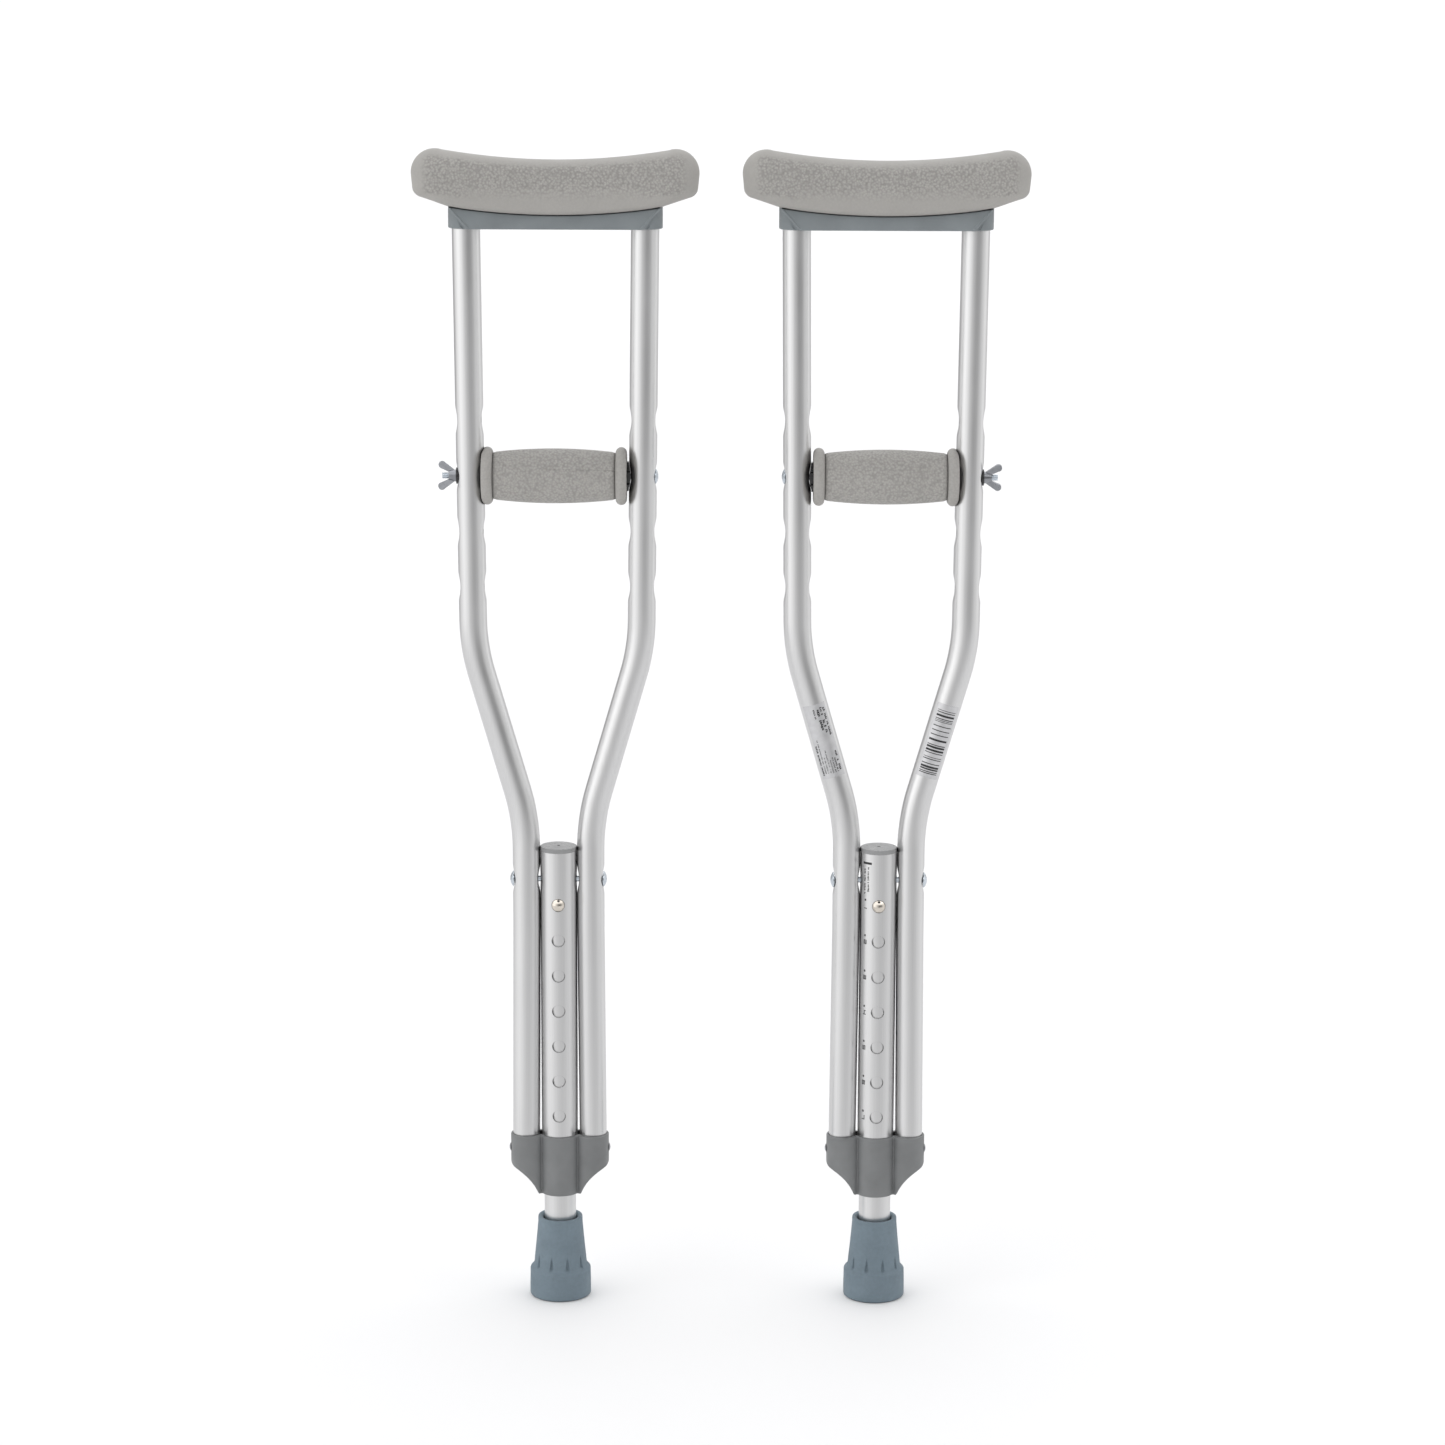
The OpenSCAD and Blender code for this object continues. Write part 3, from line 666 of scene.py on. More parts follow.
def make_grip(side):
    """The grip's section swept round its axis, pressed in where it meets the two bows."""
    first = 20.7 if side == "left" else 75
    seams = (first, first + 180)
    press_r = BOW_R + 0.25
    angles = sorted({round(360 * i / 132, 3) for i in range(132)}
                    | {round(s + d, 3) for s in seams for d in (-1.6, -0.8, -0.4, 0, 0.4, 0.8, 1.6)})
    profile = grip_profile()
    rings = []
    for degrees in angles:
        a = math.radians(degrees)
        ring = []
        for x, radius in profile:
            r = radius
            if radius > GRIP_BORE_R + 3 and abs(x) < GRIP_HALF - GRIP_FLANGE_W:
                r -= sum(seam_depth(degrees - s, x) for s in seams)
            y, z = r * math.cos(a), r * math.sin(a)
            along = x + GRIP_SHIFT
            for end in (-1, 1):
                if abs(y) < press_r:
                    bow_face = bow_x(GRIP_Z + z) - math.sqrt(press_r ** 2 - y * y)
                    if end * along > bow_face:
                        along = end * bow_face
            ring.append(Vector((along, y, GRIP_Z + z)))
        rings.append(ring)
    grip = make_piece("grip_sleeve", *loft(rings, closed=True), side, "frame", FOAM, "foam_rubber",
                      smooth_angle=60)
    store_grain(grip, side, grip_grain)
    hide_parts(f"{side}_grip_cushion")


# ---- grip cores

CORE_R = 9.9
CORE_RIBS = 8
CORE_GROOVE = 1.6
CORE_BORE_R = 2.2
CORE_GAP = 0.15


def dimpled_face(z):
    """How far a dimpled tube reaches from its axis at a height above its bolt hole."""
    return BOW_R - max(0.0, DIMPLE_DEPTH - DIMPLE_R + math.sqrt(DIMPLE_R ** 2 - z * z))


def core_radius(degrees):
    """Ribs with flat faces and narrow, deep grooves between them."""
    spacing = 360 / CORE_RIBS
    offset = abs((degrees + spacing / 2) % spacing - spacing / 2)
    edge = spacing / 2 - 4
    flat = CORE_R * math.cos(math.radians(edge)) / math.cos(math.radians(min(offset, edge)))
    return flat - CORE_GROOVE * smoothstep(edge - 0.5, edge + 1, offset) + 0.5


def make_core(side):
    """The grip's hard core: ribbed along its length, its ends shaped to the dimples of the bows."""
    rings = []
    for turn in (-1, 1):
        ring = []
        for degrees in range(0, 360, 2):
            a = math.radians(degrees)
            y, z = core_radius(degrees) * math.cos(a), core_radius(degrees) * math.sin(a)
            end = bow_x(GRIP_Z + z) - dimpled_face(z) - CORE_GAP
            ring.append(Vector((turn * end, y, GRIP_Z + z)))
        rings.append(ring)
    core = make_piece("grip_core_rod", *loft(rings), side, "frame", BLACK, "black_plastic",
                      smooth_angle=20)
    reach = Vector((GRIP_HALF + 12, 0, 0))
    middle = Vector((0, 0, GRIP_Z))
    cut(core, "bore", *round_bar(middle - reach, middle + reach, CORE_BORE_R, 32), side)
    shade_smooth(core, 20)
    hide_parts(f"{side}_grip_core")


# ---- rubber tips

TIP_H = top_of("right_rubber_tip")
TIP_FOOT_R = half_width("right_rubber_tip")
LEG_R = 11.1
TIP_FLUTES = 10
FLUTE_FOOT_Z = 20.8
FLUTE_TOP_Z = 33


def tip_profile():
    """Half section of the tip, (radius, height), as a closed loop from the middle of its tread."""
    bore_r = LEG_R + 0.05
    tread = [(0.01, 0), (6, 0), (7.8, 0), (8.1, 0.4), (8.3, 2.3), (8.8, 2.5), (9.5, 2.5), (9.9, 2.3),
             (10.1, 0.4), (10.5, 0), (12.5, 0), (14.2, 0), (14.6, 0.4), (14.8, 2.3), (15.3, 2.5),
             (16, 2.5), (16.4, 2.3), (16.6, 0.4), (17, 0), (19, 0)]
    heel = [(TIP_FOOT_R - 1.2 + 1.2 * math.sin(a), 1.3 - 1.3 * math.cos(a))
            for a in (math.pi / 2 * i / 6 for i in range(7))]
    wall = [(TIP_FOOT_R, 5), (TIP_FOOT_R - 0.05, 10), (TIP_FOOT_R - 0.15, 15), (TIP_FOOT_R - 0.2, 18.2)]
    shoulder = [(TIP_FOOT_R - 0.2 - 1.5 * (1 - math.cos(a)), 18.6 + 1.7 * math.sin(a))
                for a in (math.pi / 2 * 0.8 * i / 5 for i in range(1, 6))]
    slope = [(19.75, 20.7), (19.4, 21.1), (19.1, 21.6), (18.85, 22.2), (18.65, 22.9), (18.5, 23.7),
             (18.38, 24.6), (18.28, 25.6), (18.22, 26.6)]
    cone = [(18.2 - 2.55 * t - 0.1 * math.sin(math.pi * t), 27.2 + 26.6 * t)
            for t in [i / 38 for i in range(1, 11)] + [10 / 38 + 28 / 38 * i / 8 for i in range(1, 9)]]
    lip = [(15.55 + 0.45 * math.cos(a) - 0.35, TIP_H - 1.9 + 1.9 * math.sin(a)) for a in
           (math.pi / 2 * i / 5 for i in range(6))]
    inner = [(bore_r + 2.6, TIP_H - 0.05), (bore_r + 1.7, TIP_H - 0.5), (bore_r + 0.9, TIP_H - 1.6),
             (bore_r + 0.1, TIP_H - 3), (bore_r, TIP_H - 5), (bore_r, 30), (bore_r, 10.6),
             (bore_r - 0.3, 10.5), (6, 10.5), (0.01, 10.5)]
    return tread + heel + wall + shoulder + slope + cone + lip + inner


def flute_depth(degrees, z):
    """Depth of the flutes: drop-shaped, narrow at the top and wider at their rounded feet."""
    spacing = 360 / TIP_FLUTES
    offset = abs((degrees + 90) % spacing - spacing / 2)
    up = (z - FLUTE_FOOT_Z) / (FLUTE_TOP_Z - FLUTE_FOOT_Z)
    if not 0 < up < 1:
        return 0
    width = 5.2 * math.sqrt(min(1, up / 0.16)) * (1 - up) ** 1.3 + 0.9
    deep = 1.2 * smoothstep(0, 0.12, up) * (1 - smoothstep(0.35, 1, up))
    return deep * (1 - smoothstep(0.45 * width, width, offset))


def flute_angles():
    """Angles round the tip, closer together at the flutes."""
    spacing = 360 / TIP_FLUTES
    steps = [0.5, 1, 1.6, 2.3, 3.1, 4, 5, 6.2, 8, 10.5, 13, 15.5]
    offsets = [-d for d in steps] + [0] + steps
    centres = [spacing * i + spacing / 2 - 90 for i in range(TIP_FLUTES)]
    return sorted((centre + offset) % 360 for centre in centres for offset in offsets)


def make_tip(side):
    """The tip's section swept round the leg, with its flutes pressed in."""
    profile = tip_profile()
    rings = []
    for degrees in flute_angles():
        a = math.radians(degrees)
        ring = []
        for radius, z in profile:
            r = radius
            if radius > LEG_R + 3:
                r -= flute_depth(degrees, z)
            ring.append(Vector((r * math.cos(a), r * math.sin(a), z)))
        rings.append(ring)
    tip = make_piece("ferrule", *loft(rings, closed=True), side, "leg", RUBBER, "tip_rubber",
                     weld=0.03, smooth_angle=50)
    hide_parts(f"{side}_rubber_tip")


# ---- side tubes

def smooth_min(a, b, blend):
    """The smaller of two numbers, with a rounded corner blend wide."""
    h = max(0.0, 1 - abs(a - b) / blend)
    return min(a, b) - h * h * blend / 4


def bow_stations():
    """Points along the outer bow's centre line: (x, z, lean in radians)."""
    foot_end = LOWER_BEND_Z - BEND_R / 7
    step, bend_steps = 12.0, 10
    stations = []

    def straight(x0, z0, x1, z1, lean, holes):
        length = math.hypot(x1 - x0, z1 - z0)
        marks = {0.0, length}
        for hole in holes:
            at = (hole - z0) / math.cos(lean)
            marks |= {at + 0.9 * k for k in range(-12, 13)}
        marks |= {step * k for k in range(1, int(length / step) + 1)}
        kept = []
        for m in sorted(m for m in marks if 0 <= m <= length):
            if not kept or m - kept[-1] > 0.4:
                kept.append(m)
        for m in kept:
            stations.append((x0 + m * math.sin(lean), z0 + m * math.cos(lean), lean))

    def bend(x0, z0, lean0, lean1):
        out = math.copysign(BEND_R, lean1 - lean0)
        cx, cz = x0 + out * math.cos(lean0), z0 - out * math.sin(lean0)
        for k in range(1, bend_steps + 1):
            lean = lean0 + (lean1 - lean0) * k / bend_steps
            x, z = cx - out * math.cos(lean), cz + out * math.sin(lean)
            if k < bend_steps:
                stations.append((x, z, lean))
        return x, z

    straight(BOW_FOOT_HALF, BOW_FOOT_Z, BOW_FOOT_HALF, foot_end, 0, [CROSS_BOLT_Z])
    x, z = bend(BOW_FOOT_HALF, foot_end, 0, SLANT)
    tangent = BEND_R * math.tan(UPPER_TURN / 2)
    end_x = BOW_FOOT_HALF + BOW_STEP - tangent * math.sin(SLANT)
    end_z = UPPER_BEND_Z - tangent * math.cos(SLANT)
    straight(x, z, end_x, end_z, SLANT, [])
    x, z = bend(end_x, end_z, SLANT, HEAD_LEAN)
    straight(x, z, bow_x(BOW_HEAD_Z), BOW_HEAD_Z, HEAD_LEAN, GRIP_HOLES)
    return stations


def make_bow(side, which):
    """A bent tube, its foot sprung sideways, dimpled softly round each bolt hole."""
    wall = 1.2
    bottom = BOW_R - DIMPLE_DEPTH + DIMPLE_R
    turn = 1 if which == "outer" else -1
    holes = [(bow_x(z), z) for z in GRIP_HOLES] + [(BOW_FOOT_HALF, CROSS_BOLT_Z)]

    def ring_at(x, z, lean, inset):
        x += foot_shift(z)
        ring = []
        radius = BOW_R - inset
        for k in range(72):
            a = 2 * math.pi * k / 72
            u, y = radius * math.cos(a), radius * math.sin(a)
            for _, hz in holes:
                off = abs(z - hz)
                if off < 13:
                    limit = bottom - inset - math.sqrt(DIMPLE_R ** 2 - off ** 2)
                    u = math.copysign(smooth_min(abs(u), limit, 0.9), u)
            ring.append(Vector((turn * (x + u * math.cos(lean)), y, z - u * math.sin(lean))))
        return ring

    stations = bow_stations()
    outer = [ring_at(x, z, lean, 0) for x, z, lean in stations]
    inner = [ring_at(x, z, lean, wall) for x, z, lean in reversed(stations)]
    tube = make_piece(f"{which}_tube", *loft(outer + inner, closed=True), side, "frame", ALUMINIUM,
                      "satin_aluminium", smooth_angle=50)
    drill_bow(tube, side, turn, holes)
    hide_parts(f"{side}_{which}_bow")


def drill_bow(tube, side, turn, holes):
    """Cut the bolt holes through both walls."""
    points, faces = [], []
    reach = Vector((BOW_R + 3, 0, 0))
    for x, z in holes:
        centre = Vector((turn * x, 0, z))
        append(points, faces, *round_bar(centre - reach, centre + reach, 2.3, 28))
    cut(tube, "drill", points, faces, side)
    shade_smooth(tube, 50)


def make_bows(side):
    for which in ("outer", "inner"):
        make_bow(side, which)


# ---- underarm bracket

BRACKET_FOOT_Z = foot_of("right_underarm_bracket")


def underside_z(x):
    """Height of the pad's underside."""
    return PAD_FOOT_Z + PAD_UNDER_R - math.sqrt(PAD_UNDER_R ** 2 - x * x)


def bent_plate(half_low, half_high, half_depth, low, high):
    """A plate that follows x from -1 to 1 along its half lengths; low and high give its height
    below and above at a distance x from the middle."""
    steps = 24
    rings = []
    for i in range(steps + 1):
        t = 2 * i / steps - 1
        a, b = half_low * t, half_high * t
        rings.append([Vector((a, -half_depth, low(a))), Vector((a, half_depth, low(a))),
                      Vector((b, half_depth, high(b))), Vector((b, -half_depth, high(b)))])
    return loft(rings)


def make_bracket(side):
    """A web with slanted ends between two round sockets, and the core that holds the pad."""
    web_half_low, web_half_high, web_depth = 58.4, 71.1, 14.1
    socket_r, socket_h = 11.9, 18.5
    core_half, core_depth = 70, 11
    pocket_half, rib, skin, pocket_h = 45, 1.6, 1.8, 7
    bead_r, bead_inset, groove_r, groove_inset = 0.9, 0.35, 1.15, 1.9
    foot = BRACKET_FOOT_Z
    edge_z = underside_z(web_half_high)

    def slanted_bars(low, high, inset, radius):
        """Round bars along the web's four slanted edges; low and high shift their ends by (x, z)."""
        points, faces = [], []
        for turn in (-1, 1):
            for y in (inset - web_depth, web_depth - inset):
                start = Vector((turn * (web_half_low + low[0]), y, foot + low[1]))
                end = Vector((turn * (web_half_high + high[0]), y, edge_z + high[1]))
                append(points, faces, *round_bar(start, end, radius, 20))
        return points, faces

    points, faces = bent_plate(web_half_low, web_half_high, web_depth,
                               lambda x: foot, lambda x: underside_z(x) - 0.15)
    bracket = make_piece("bracket", points, faces, side, "frame", BRACKET, "bracket_plastic")
    round_edges(bracket, 0.7)
    combine(bracket, "beads", *slanted_bars((-0.6, 0.5), (-1.2, -0.9), bead_inset, bead_r), side)
    points, faces = [], []
    bores, bore_faces = [], []
    for turn in (-1, 1):
        centre = Vector((turn * bow_x(foot), 0, foot))
        up = Vector((0, 0, 1))
        append(points, faces, *round_bar(centre, centre + up * socket_h, socket_r, 96))
        lean = Vector((turn * math.sin(HEAD_LEAN), 0, math.cos(HEAD_LEAN)))
        append(bores, bore_faces, *round_bar(centre - lean, centre + lean * (BOW_HEAD_Z + 0.1 - foot),
                                             BOW_R + 0.08, 72))
    combine(bracket, "sockets", points, faces, side, rounding=1.0)
    points, faces = bent_plate(core_half, core_half, core_depth,
                               lambda x: underside_z(x) - 1.5, lambda x: underside_z(x) + 8)
    combine(bracket, "core", points, faces, side)
    cut(bracket, "grooves", *slanted_bars((1.5, -1), (1.2, 0), groove_inset, groove_r), side)
    cut(bracket, "bores", bores, bore_faces, side)
    points, faces = [], []
    for i in (-3, -2, -1, 0, 1, 2):
        middle = (i + 0.5) * pocket_half / 3
        half = (pocket_half / 3 - rib) / 2
        append(points, faces, *block((middle - half, -web_depth + skin, foot - 1),
                                     (middle + half, web_depth - skin, foot + pocket_h)))
    cut(bracket, "pockets", points, faces, side)
    shade_smooth(bracket, 25)
    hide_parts(f"{side}_underarm_bracket")


# ---- yoke

YOKE_FOOT_Z = foot_of("right_yoke")
YOKE_TOP_Z = top_of("right_yoke")


def lobed_front(collar_r, lobe_r, fillet_r):
    """Front half of a round collar with a lobe on each side, rounded in the valleys between them,
    from its left end to its right end: (x, y, outward x, outward y)."""
    a, b = collar_r + fillet_r, lobe_r + fillet_r
    at_collar = math.acos((a * a + BOW_FOOT_HALF ** 2 - b * b) / (2 * a * BOW_FOOT_HALF))
    valley = Vector((a * math.cos(at_collar), -a * math.sin(at_collar)))
    at_lobe = math.atan2(-valley.y, BOW_FOOT_HALF - valley.x)
    half = []

    def sweep(centre, radius, start, end, steps, outward):
        for i in range(steps):
            angle = start + (end - start) * i / steps
            ray = Vector((math.cos(angle), math.sin(angle)))
            point = centre + ray * radius
            half.append((point.x, point.y, outward * ray.x, outward * ray.y))

    sweep(Vector((0, 0)), collar_r, -math.pi / 2, -at_collar, 14, 1)
    sweep(valley, fillet_r, math.pi - at_collar, at_lobe, 12, -1)
    sweep(Vector((BOW_FOOT_HALF, 0)), lobe_r, at_lobe - math.pi, 0, 30, 1)
    half.append((BOW_FOOT_HALF + lobe_r, 0, 1, 0))
    return [(-x, y, -nx, ny) for x, y, nx, ny in reversed(half[1:])] + half


def yoke_underside(x, half_width):
    """Height of the yoke's lower edge: level under the collar, swept up to the rounded corners."""
    sweep_r, sweep_x, sweep_z, corner_r = 32.6, 45.2, YOKE_FOOT_Z - 10.4, 2.2
    x = abs(x)
    z = sweep_z + math.sqrt(max(0, sweep_r ** 2 - (x - sweep_x) ** 2))
    z = -smooth_min(-z, -YOKE_FOOT_Z, 2.4)
    inside = half_width - x
    if inside < corner_r:
        z += corner_r - math.sqrt(max(0, corner_r ** 2 - (corner_r - inside) ** 2))
    return z


def lobed_solid(front, layers):
    """A solid over a front outline and its mirror image; a layer gives an inset and a height at x."""
    rings = []
    for layer in layers:
        ring = []
        for x, y, nx, ny in front:
            inset, z = layer(x)
            ring.append(Vector((x - nx * inset, y - ny * inset, z)))
        rings.append(ring + [Vector((p.x, -p.y, p.z)) for p in reversed(ring[1:-1])])
    count = len(rings[0])
    last = len(front) - 1
    points, faces = loft(rings)
    faces = faces[:-2]
    for base in (0, len(points) - count):
        for i in range(last):
            pair = [base + i, base + i + 1, base + (count - i - 1) % count, base + (count - i) % count]
            faces.append(tuple(dict.fromkeys(pair)))
    return points, faces


def make_yoke(side):
    """A moulded shell round the centre tube and the feet of both bows."""
    collar_r, lobe_r, rim = CENTRE_R + 1.5, BOW_R + 2.4, 0.9
    half = BOW_FOOT_HALF + lobe_r
    front = lobed_front(collar_r, lobe_r, 0.7)
    quarter = [(1 - math.cos(a), 1 - math.sin(a)) for a in (math.pi / 2 * i / 4 for i in range(5))]
    layers = [lambda x, c=c, s=s: (rim * s, yoke_underside(x, half) + rim * c) for c, s in quarter]
    for share in (0.25, 0.5, 0.75):
        layers.append(lambda x, t=share: (0, yoke_underside(x, half) * (1 - t) + (YOKE_TOP_Z - rim) * t))
    layers += [lambda x, c=c, s=s: (rim * c, YOKE_TOP_Z - rim * s) for c, s in quarter]
    yoke = make_piece("yoke_shell", *lobed_solid(front, layers), side, "frame", YOKE, "yoke_plastic",
                      weld=0.01)
    up = Vector((0, 0, YOKE_TOP_Z + 5))
    points, faces = [], []
    for turn in (-1, 1):
        foot = Vector((turn * (BOW_FOOT_HALF + foot_shift(YOKE_TOP_Z)), 0, BOW_FOOT_Z - 0.05))
        append(points, faces, *round_bar(foot, foot + up, BOW_R + 0.15, 96))
    cut(yoke, "bow_bores", points, faces, side)
    middle = Vector((0, 0, foot_of("right_centre_tube") - 0.05))
    cut(yoke, "collar_bore", *round_bar(middle, middle + up, CENTRE_R + 0.06, 96), side)
    middle = Vector((0, 0, YOKE_FOOT_Z - 5))
    cut(yoke, "leg_bore", *round_bar(middle, middle + up, LEG_R + 0.1, 96), side)
    pocket = block((-BOW_FOOT_HALF, -4.4, BOW_FOOT_Z), (BOW_FOOT_HALF, 4.4, YOKE_TOP_Z + 5))
    cut(yoke, "pockets", *pocket, side)
    shade_smooth(yoke, 35)
    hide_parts(f"{side}_yoke")


# ---- printed marks

INK_T = 0.04


class Print:
    """Thin raised marks on a round tube. start and up are a point and a direction on its axis."""

    def __init__(self, start, up, radius):
        self.start = start
        self.up = up.normalized()
        self.radius = radius
        self.across = Vector((0, 1, 0)).cross(self.up).normalized()
        self.points, self.faces = [], []

    def spot(self, degrees, along, lift):
        a = math.radians(degrees)
        radius = self.radius + lift
        return (self.start + self.up * along + self.across * (radius * math.sin(a))
                + Vector((0, -radius * math.cos(a), 0)))

    def mark(self, left, right, low, high):
        """A mark between two angles, in degrees from the front, and two distances along the tube."""
        steps = max(1, math.ceil(abs(right - left) / 6))
        rings = []
        for i in range(steps + 1):
            angle = left + (right - left) * (i / steps)
            rings.append([self.spot(angle, low, 0), self.spot(angle, high, 0),
                          self.spot(angle, high, INK_T), self.spot(angle, low, INK_T)])
        append(self.points, self.faces, *loft(rings))

    def degrees(self, length):
        """The angle that a length takes up round the tube."""
        return math.degrees(length / self.radius)

    def finish(self, name, side):
        make_piece(name, self.points, self.faces, side, "frame", INK, "black_plastic")


# the strokes of each figure, as on a seven-segment display
SEGMENTS = {"1": "bc", "2": "abged", "3": "abgcd", "4": "fgbc", "5": "afgcd", "6": "afgedc", "7": "abc"}


def draw_digit(ink, digit, middle, along):
    """A plain figure, lying on its side so that it reads down the tube."""
    height, width, stroke = 2.6, 3.2, 0.6
    tall, thick = ink.degrees(height), ink.degrees(stroke)
    left, right = middle - tall / 2, middle + tall / 2
    high, low = along + width / 2, along - width / 2
    # a figure's top is towards the tube's right, and its left side is towards the tube's top
    strokes = {
        "a": (right - thick, right, low, high), "d": (left, left + thick, low, high),
        "g": (middle - thick / 2, middle + thick / 2, low, high),
        "f": (middle, right, high - stroke, high), "b": (middle, right, low, low + stroke),
        "e": (left, middle, high - stroke, high), "c": (left, middle, low, low + stroke),
    }
    for name in SEGMENTS[digit]:
        ink.mark(*strokes[name])


def tiny_text(ink, chance, angle, top, length, height, weight):
    """A line of marks that stands for small print; it reads down the tube and spells nothing."""
    tall = ink.degrees(height)
    at = top
    while at > top - length:
        step = chance.uniform(0.5, 0.85) * height
        if chance.random() > 0.16:
            low = chance.uniform(0.0, 0.25) * tall
            high = tall * chance.uniform(0.7, 1.0)
            ink.mark(angle + low, angle + high, at - step * weight, at)
            if chance.random() > 0.5:
                ink.mark(angle + low, angle + low + tall * 0.3, at - step * 0.95, at - step * 0.5)
        at -= step


def print_centre_tube(side, chance):
    """A short bar, two lines of small print, and a number beside each height hole."""
    ink = Print(Vector((0, 0, 0)), Vector((0, 0, 1)), CENTRE_R + 0.005)
    figure_angle = -46
    ink.mark(-57, -24, 315.8, 317.4)
    tiny_text(ink, chance, -53, 314.4, 19, 1.6, 0.6)
    tiny_text(ink, chance, -39, 313.8, 17, 1.5, 0.6)
    for i, z in enumerate(HEIGHT_HOLES):
        ink.mark(figure_angle - 3.5, figure_angle + 2.5, z + 3.3, z + 4.7)
        draw_digit(ink, str(i + 1), figure_angle, z - 0.6)
    ink.finish("tube_print", side)


# the small print on a label: angle, top, length, height and weight of each line
LABEL_LINES = (
    (4, 49, 16, 2.1, 0.75), (18, 50, 18, 2.0, 0.6), (32, 50.5, 21, 1.9, 0.6), (-10, 49.5, 6, 1.4, 0.5),
    (-46, 24, 21, 1.6, 0.7), (-31, 28, 24, 1.0, 0.45), (-20, 15, 11, 1.0, 0.4), (-9, 20, 16, 1.0, 0.4),
    (1, 13, 9.5, 1.0, 0.4), (11, 14, 10.5, 1.1, 0.5), (21, 14, 10.5, 1.3, 0.6), (32, 18, 14, 1.7, 0.75))
LABEL_LENGTH = 53
LABEL_MARGIN = 3
BAR_WIDTHS = (0.4, 0.6, 0.6, 1.0, 1.4)
BAR_GAPS = (0.45, 0.6, 0.9, 1.3, 2.6)


def print_labels(side, chance):
    """Bars across the outer bow's label, small print along the inner one's."""
    film_r = BOW_R + 0.145
    start = BEND_R / 7 + 12.5
    for turn in (-1, 1):
        corner = Vector((turn * BOW_FOOT_HALF, 0, LOWER_BEND_Z))
        up = Vector((turn * math.sin(SLANT), 0, math.cos(SLANT)))
        ink = Print(corner + up * start, up, film_r)
        if turn < 0:
            for line in LABEL_LINES:
                tiny_text(ink, chance, *line)
            ink.finish("label_print", side)
            continue
        at = LABEL_MARGIN
        while at < LABEL_LENGTH - 3.5:
            width = chance.choice(BAR_WIDTHS)
            ink.mark(-39, 40, at, at + width)
            at += width + chance.choice(BAR_GAPS)
        ink.finish("label_bars", side)


def make_prints(side):
    print_centre_tube(side, random.Random(4))
    print_labels(side, random.Random(11))


# ---- bolt threads

def make_thread(side):
    """The helical ridge on the free end of the grip bolt."""
    pitch, per_turn, bolt_r = 0.7, 24, 2.0
    half, ridge, crest = pitch * 0.42, 0.117, 0.06
    washer, nut, free_end = 1.6, 5, 4.2
    start = half_width("right_grip_core") + 6
    end = bow_x(GRIP_Z) + BOW_R - DIMPLE_DEPTH + washer + nut + free_end
    steps = int((end - start) / pitch * per_turn)
    rings = []
    for i in range(steps + 1):
        a = 2 * math.pi * i / per_turn
        out = Vector((0, math.cos(a), math.sin(a)))
        base = Vector((start + pitch * i / per_turn, 0, GRIP_Z))
        rise = ridge * min(1.0, i / per_turn, (steps - i) / per_turn)
        section = ((-0.05, -half), (-0.05, half), (rise, crest), (rise, -crest))
        rings.append([base + out * (bolt_r + lift) + Vector((x, 0, 0)) for lift, x in section])
    make_piece("bolt_thread", *loft(rings), side, "frame", ZINC, "zinc_steel", smooth_angle=30)


# ---- floor, light, finish

def make_floor():
    half = 60
    corners = [(-half, -half, 0), (half, -half, 0), (half, half, 0), (-half, half, 0)]
    mesh = bpy.data.meshes.new("floor")
    mesh.from_pydata(corners, [], [(0, 1, 2, 3)])
    floor = bpy.data.objects.new("floor", mesh)
    bpy.context.scene.collection.objects.link(floor)
    floor.data.materials.append(floor_material())
    floor.location.z = -0.0002
    # the shiny tubes reflect the room's own pale floor instead
    floor.visible_glossy = False


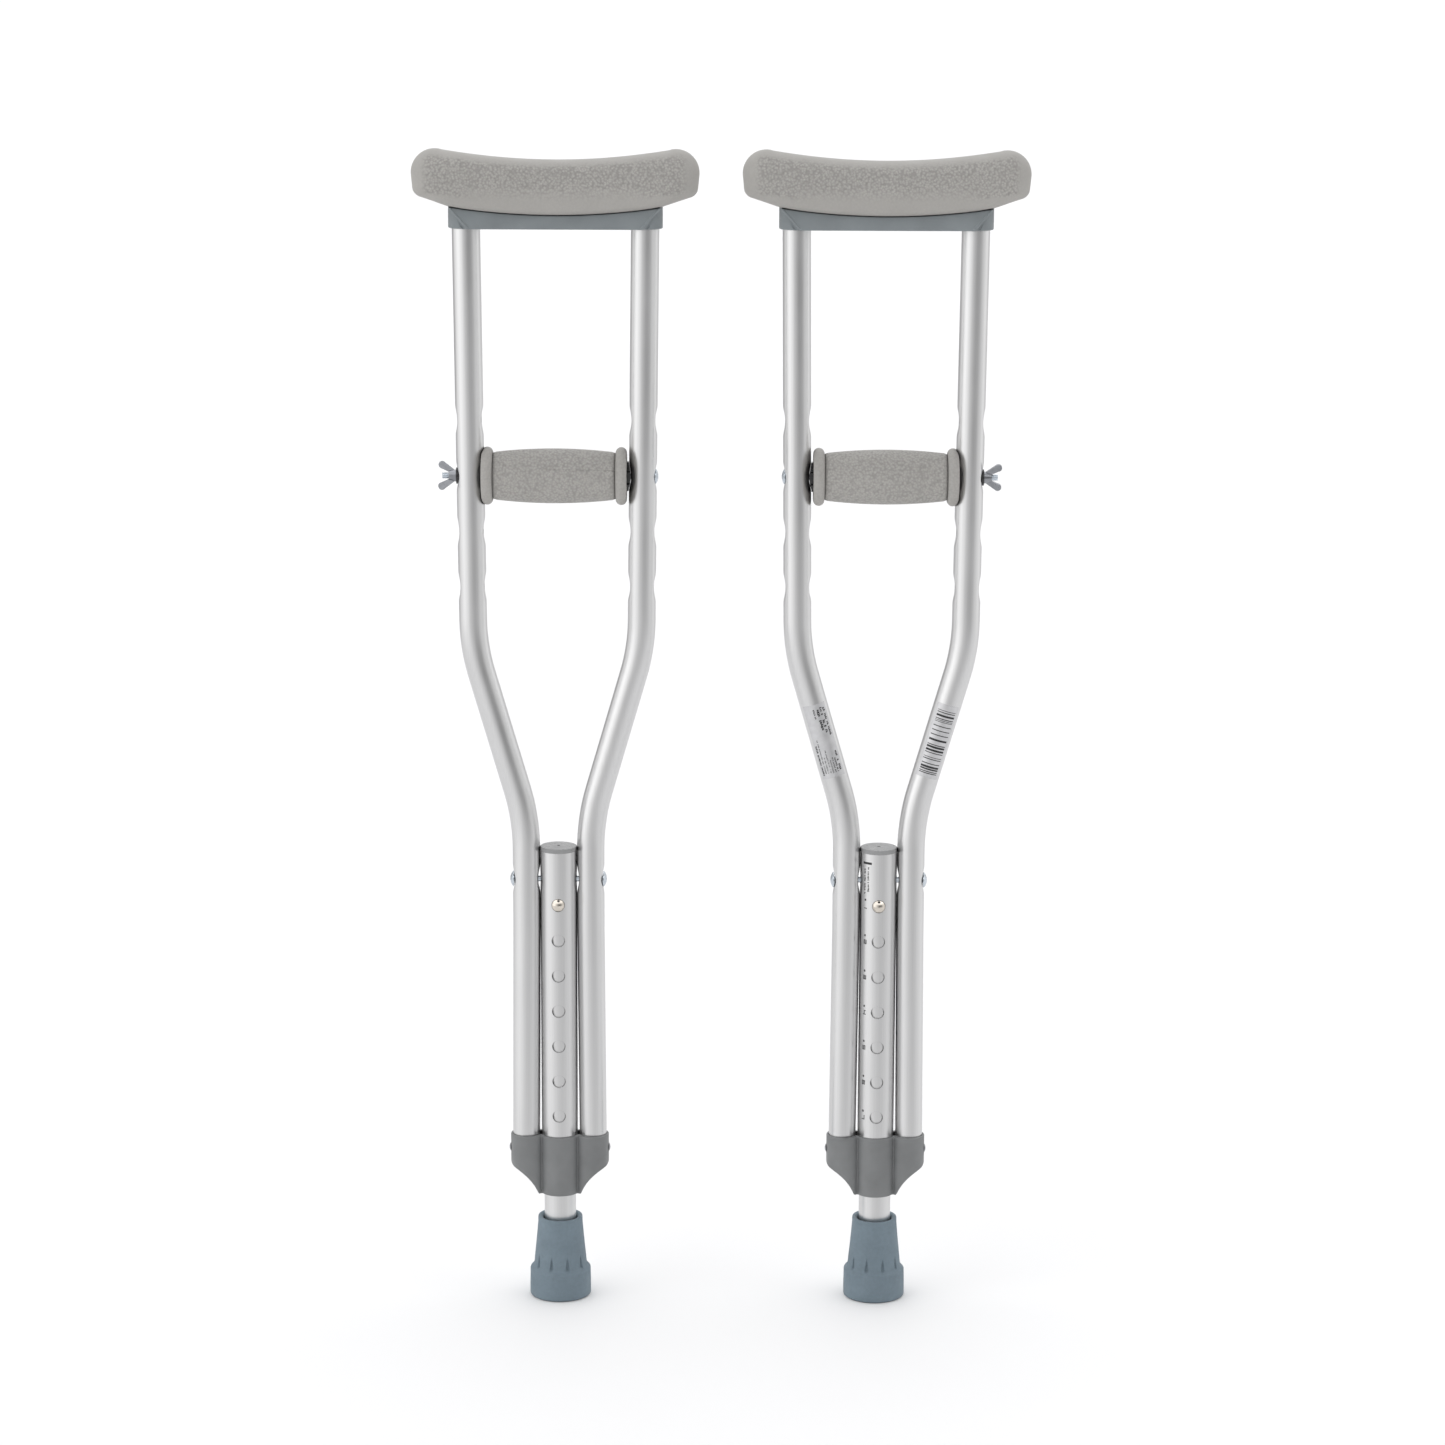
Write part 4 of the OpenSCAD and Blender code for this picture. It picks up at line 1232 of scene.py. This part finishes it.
# tones of the studio's walls by angle, in degrees to the right of the front
WALLS = [(-180, 0.9), (-140, 0.32), (-100, 1.0), (-66, 1.4), (-40, 1.1), (-12, 0.5),
         (16, 0.2), (38, 0.26), (70, 0.7), (105, 1.05), (140, 0.6), (180, 0.9)]
FLOOR_TONE = 0.84
CEILING_TONE = 1.4
PATCH_TONE = 0.03
PATCH_WAY = (0.07, -0.37, 0.93)
WHITE = 1.0


def make_light():
    """A white studio with darker walls: bright panels to the left front and to the right, a dim
    room behind the camera, a bright ceiling with one unlit patch, and a pale floor. The camera
    itself sees plain white."""
    world = bpy.data.worlds.new("studio")
    bpy.context.scene.world = world
    world.use_nodes = True
    n = Nodes(world.node_tree, "Generated")

    def blend(factor, a, b):
        """Mix two tones; a number is a grey with a touch of blue."""
        a, b = ((v, v, v * 1.01, 1) if isinstance(v, float) else v for v in (a, b))
        return n.mix(factor, a, b)

    def rise(height, low, high):
        return n.ramp(height, low, high, curve="SMOOTHSTEP")

    x, y, z = n.add("ShaderNodeSeparateXYZ", {0: n.place}).outputs
    angle = n.math("ARCTAN2", x, n.times(y, -1))
    walls = n.add("ShaderNodeValToRGB", {"Fac": n.ramp(angle, -math.pi, math.pi)})
    walls.color_ramp.interpolation = "EASE"
    elements = walls.color_ramp.elements
    elements.remove(elements[-1])
    for i, (degrees, tone) in enumerate(WALLS):
        at = (degrees + 180) / 360
        element = elements.new(at) if i else elements[0]
        element.position = at
        element.color = (tone, tone, tone, 1)
    room = blend(rise(z, -0.31, -0.09), FLOOR_TONE, walls.outputs["Color"])
    room = blend(rise(z, 0.2, 0.7), room, CEILING_TONE)
    # the unlit patch is seen only in the round buttons and bolt heads
    nearness = n.add("ShaderNodeVectorMath", {0: n.place, 1: PATCH_WAY}, operation="DOT_PRODUCT")
    room = blend(rise(nearness.outputs["Value"], 0.93, 0.965), room, PATCH_TONE)
    camera_ray = n.add("ShaderNodeLightPath").outputs["Is Camera Ray"]
    background = n.tree.nodes["Background"]
    n.tree.links.new(blend(camera_ray, room, WHITE), background.inputs["Color"])


for make in (make_pad, make_grip, make_core, make_tip, make_bows, make_bracket, make_yoke, make_prints,
             make_thread):
    for side in SIDES:
        make(side)
make_floor()
make_light()
bpy.context.scene.view_settings.view_transform = "Standard"
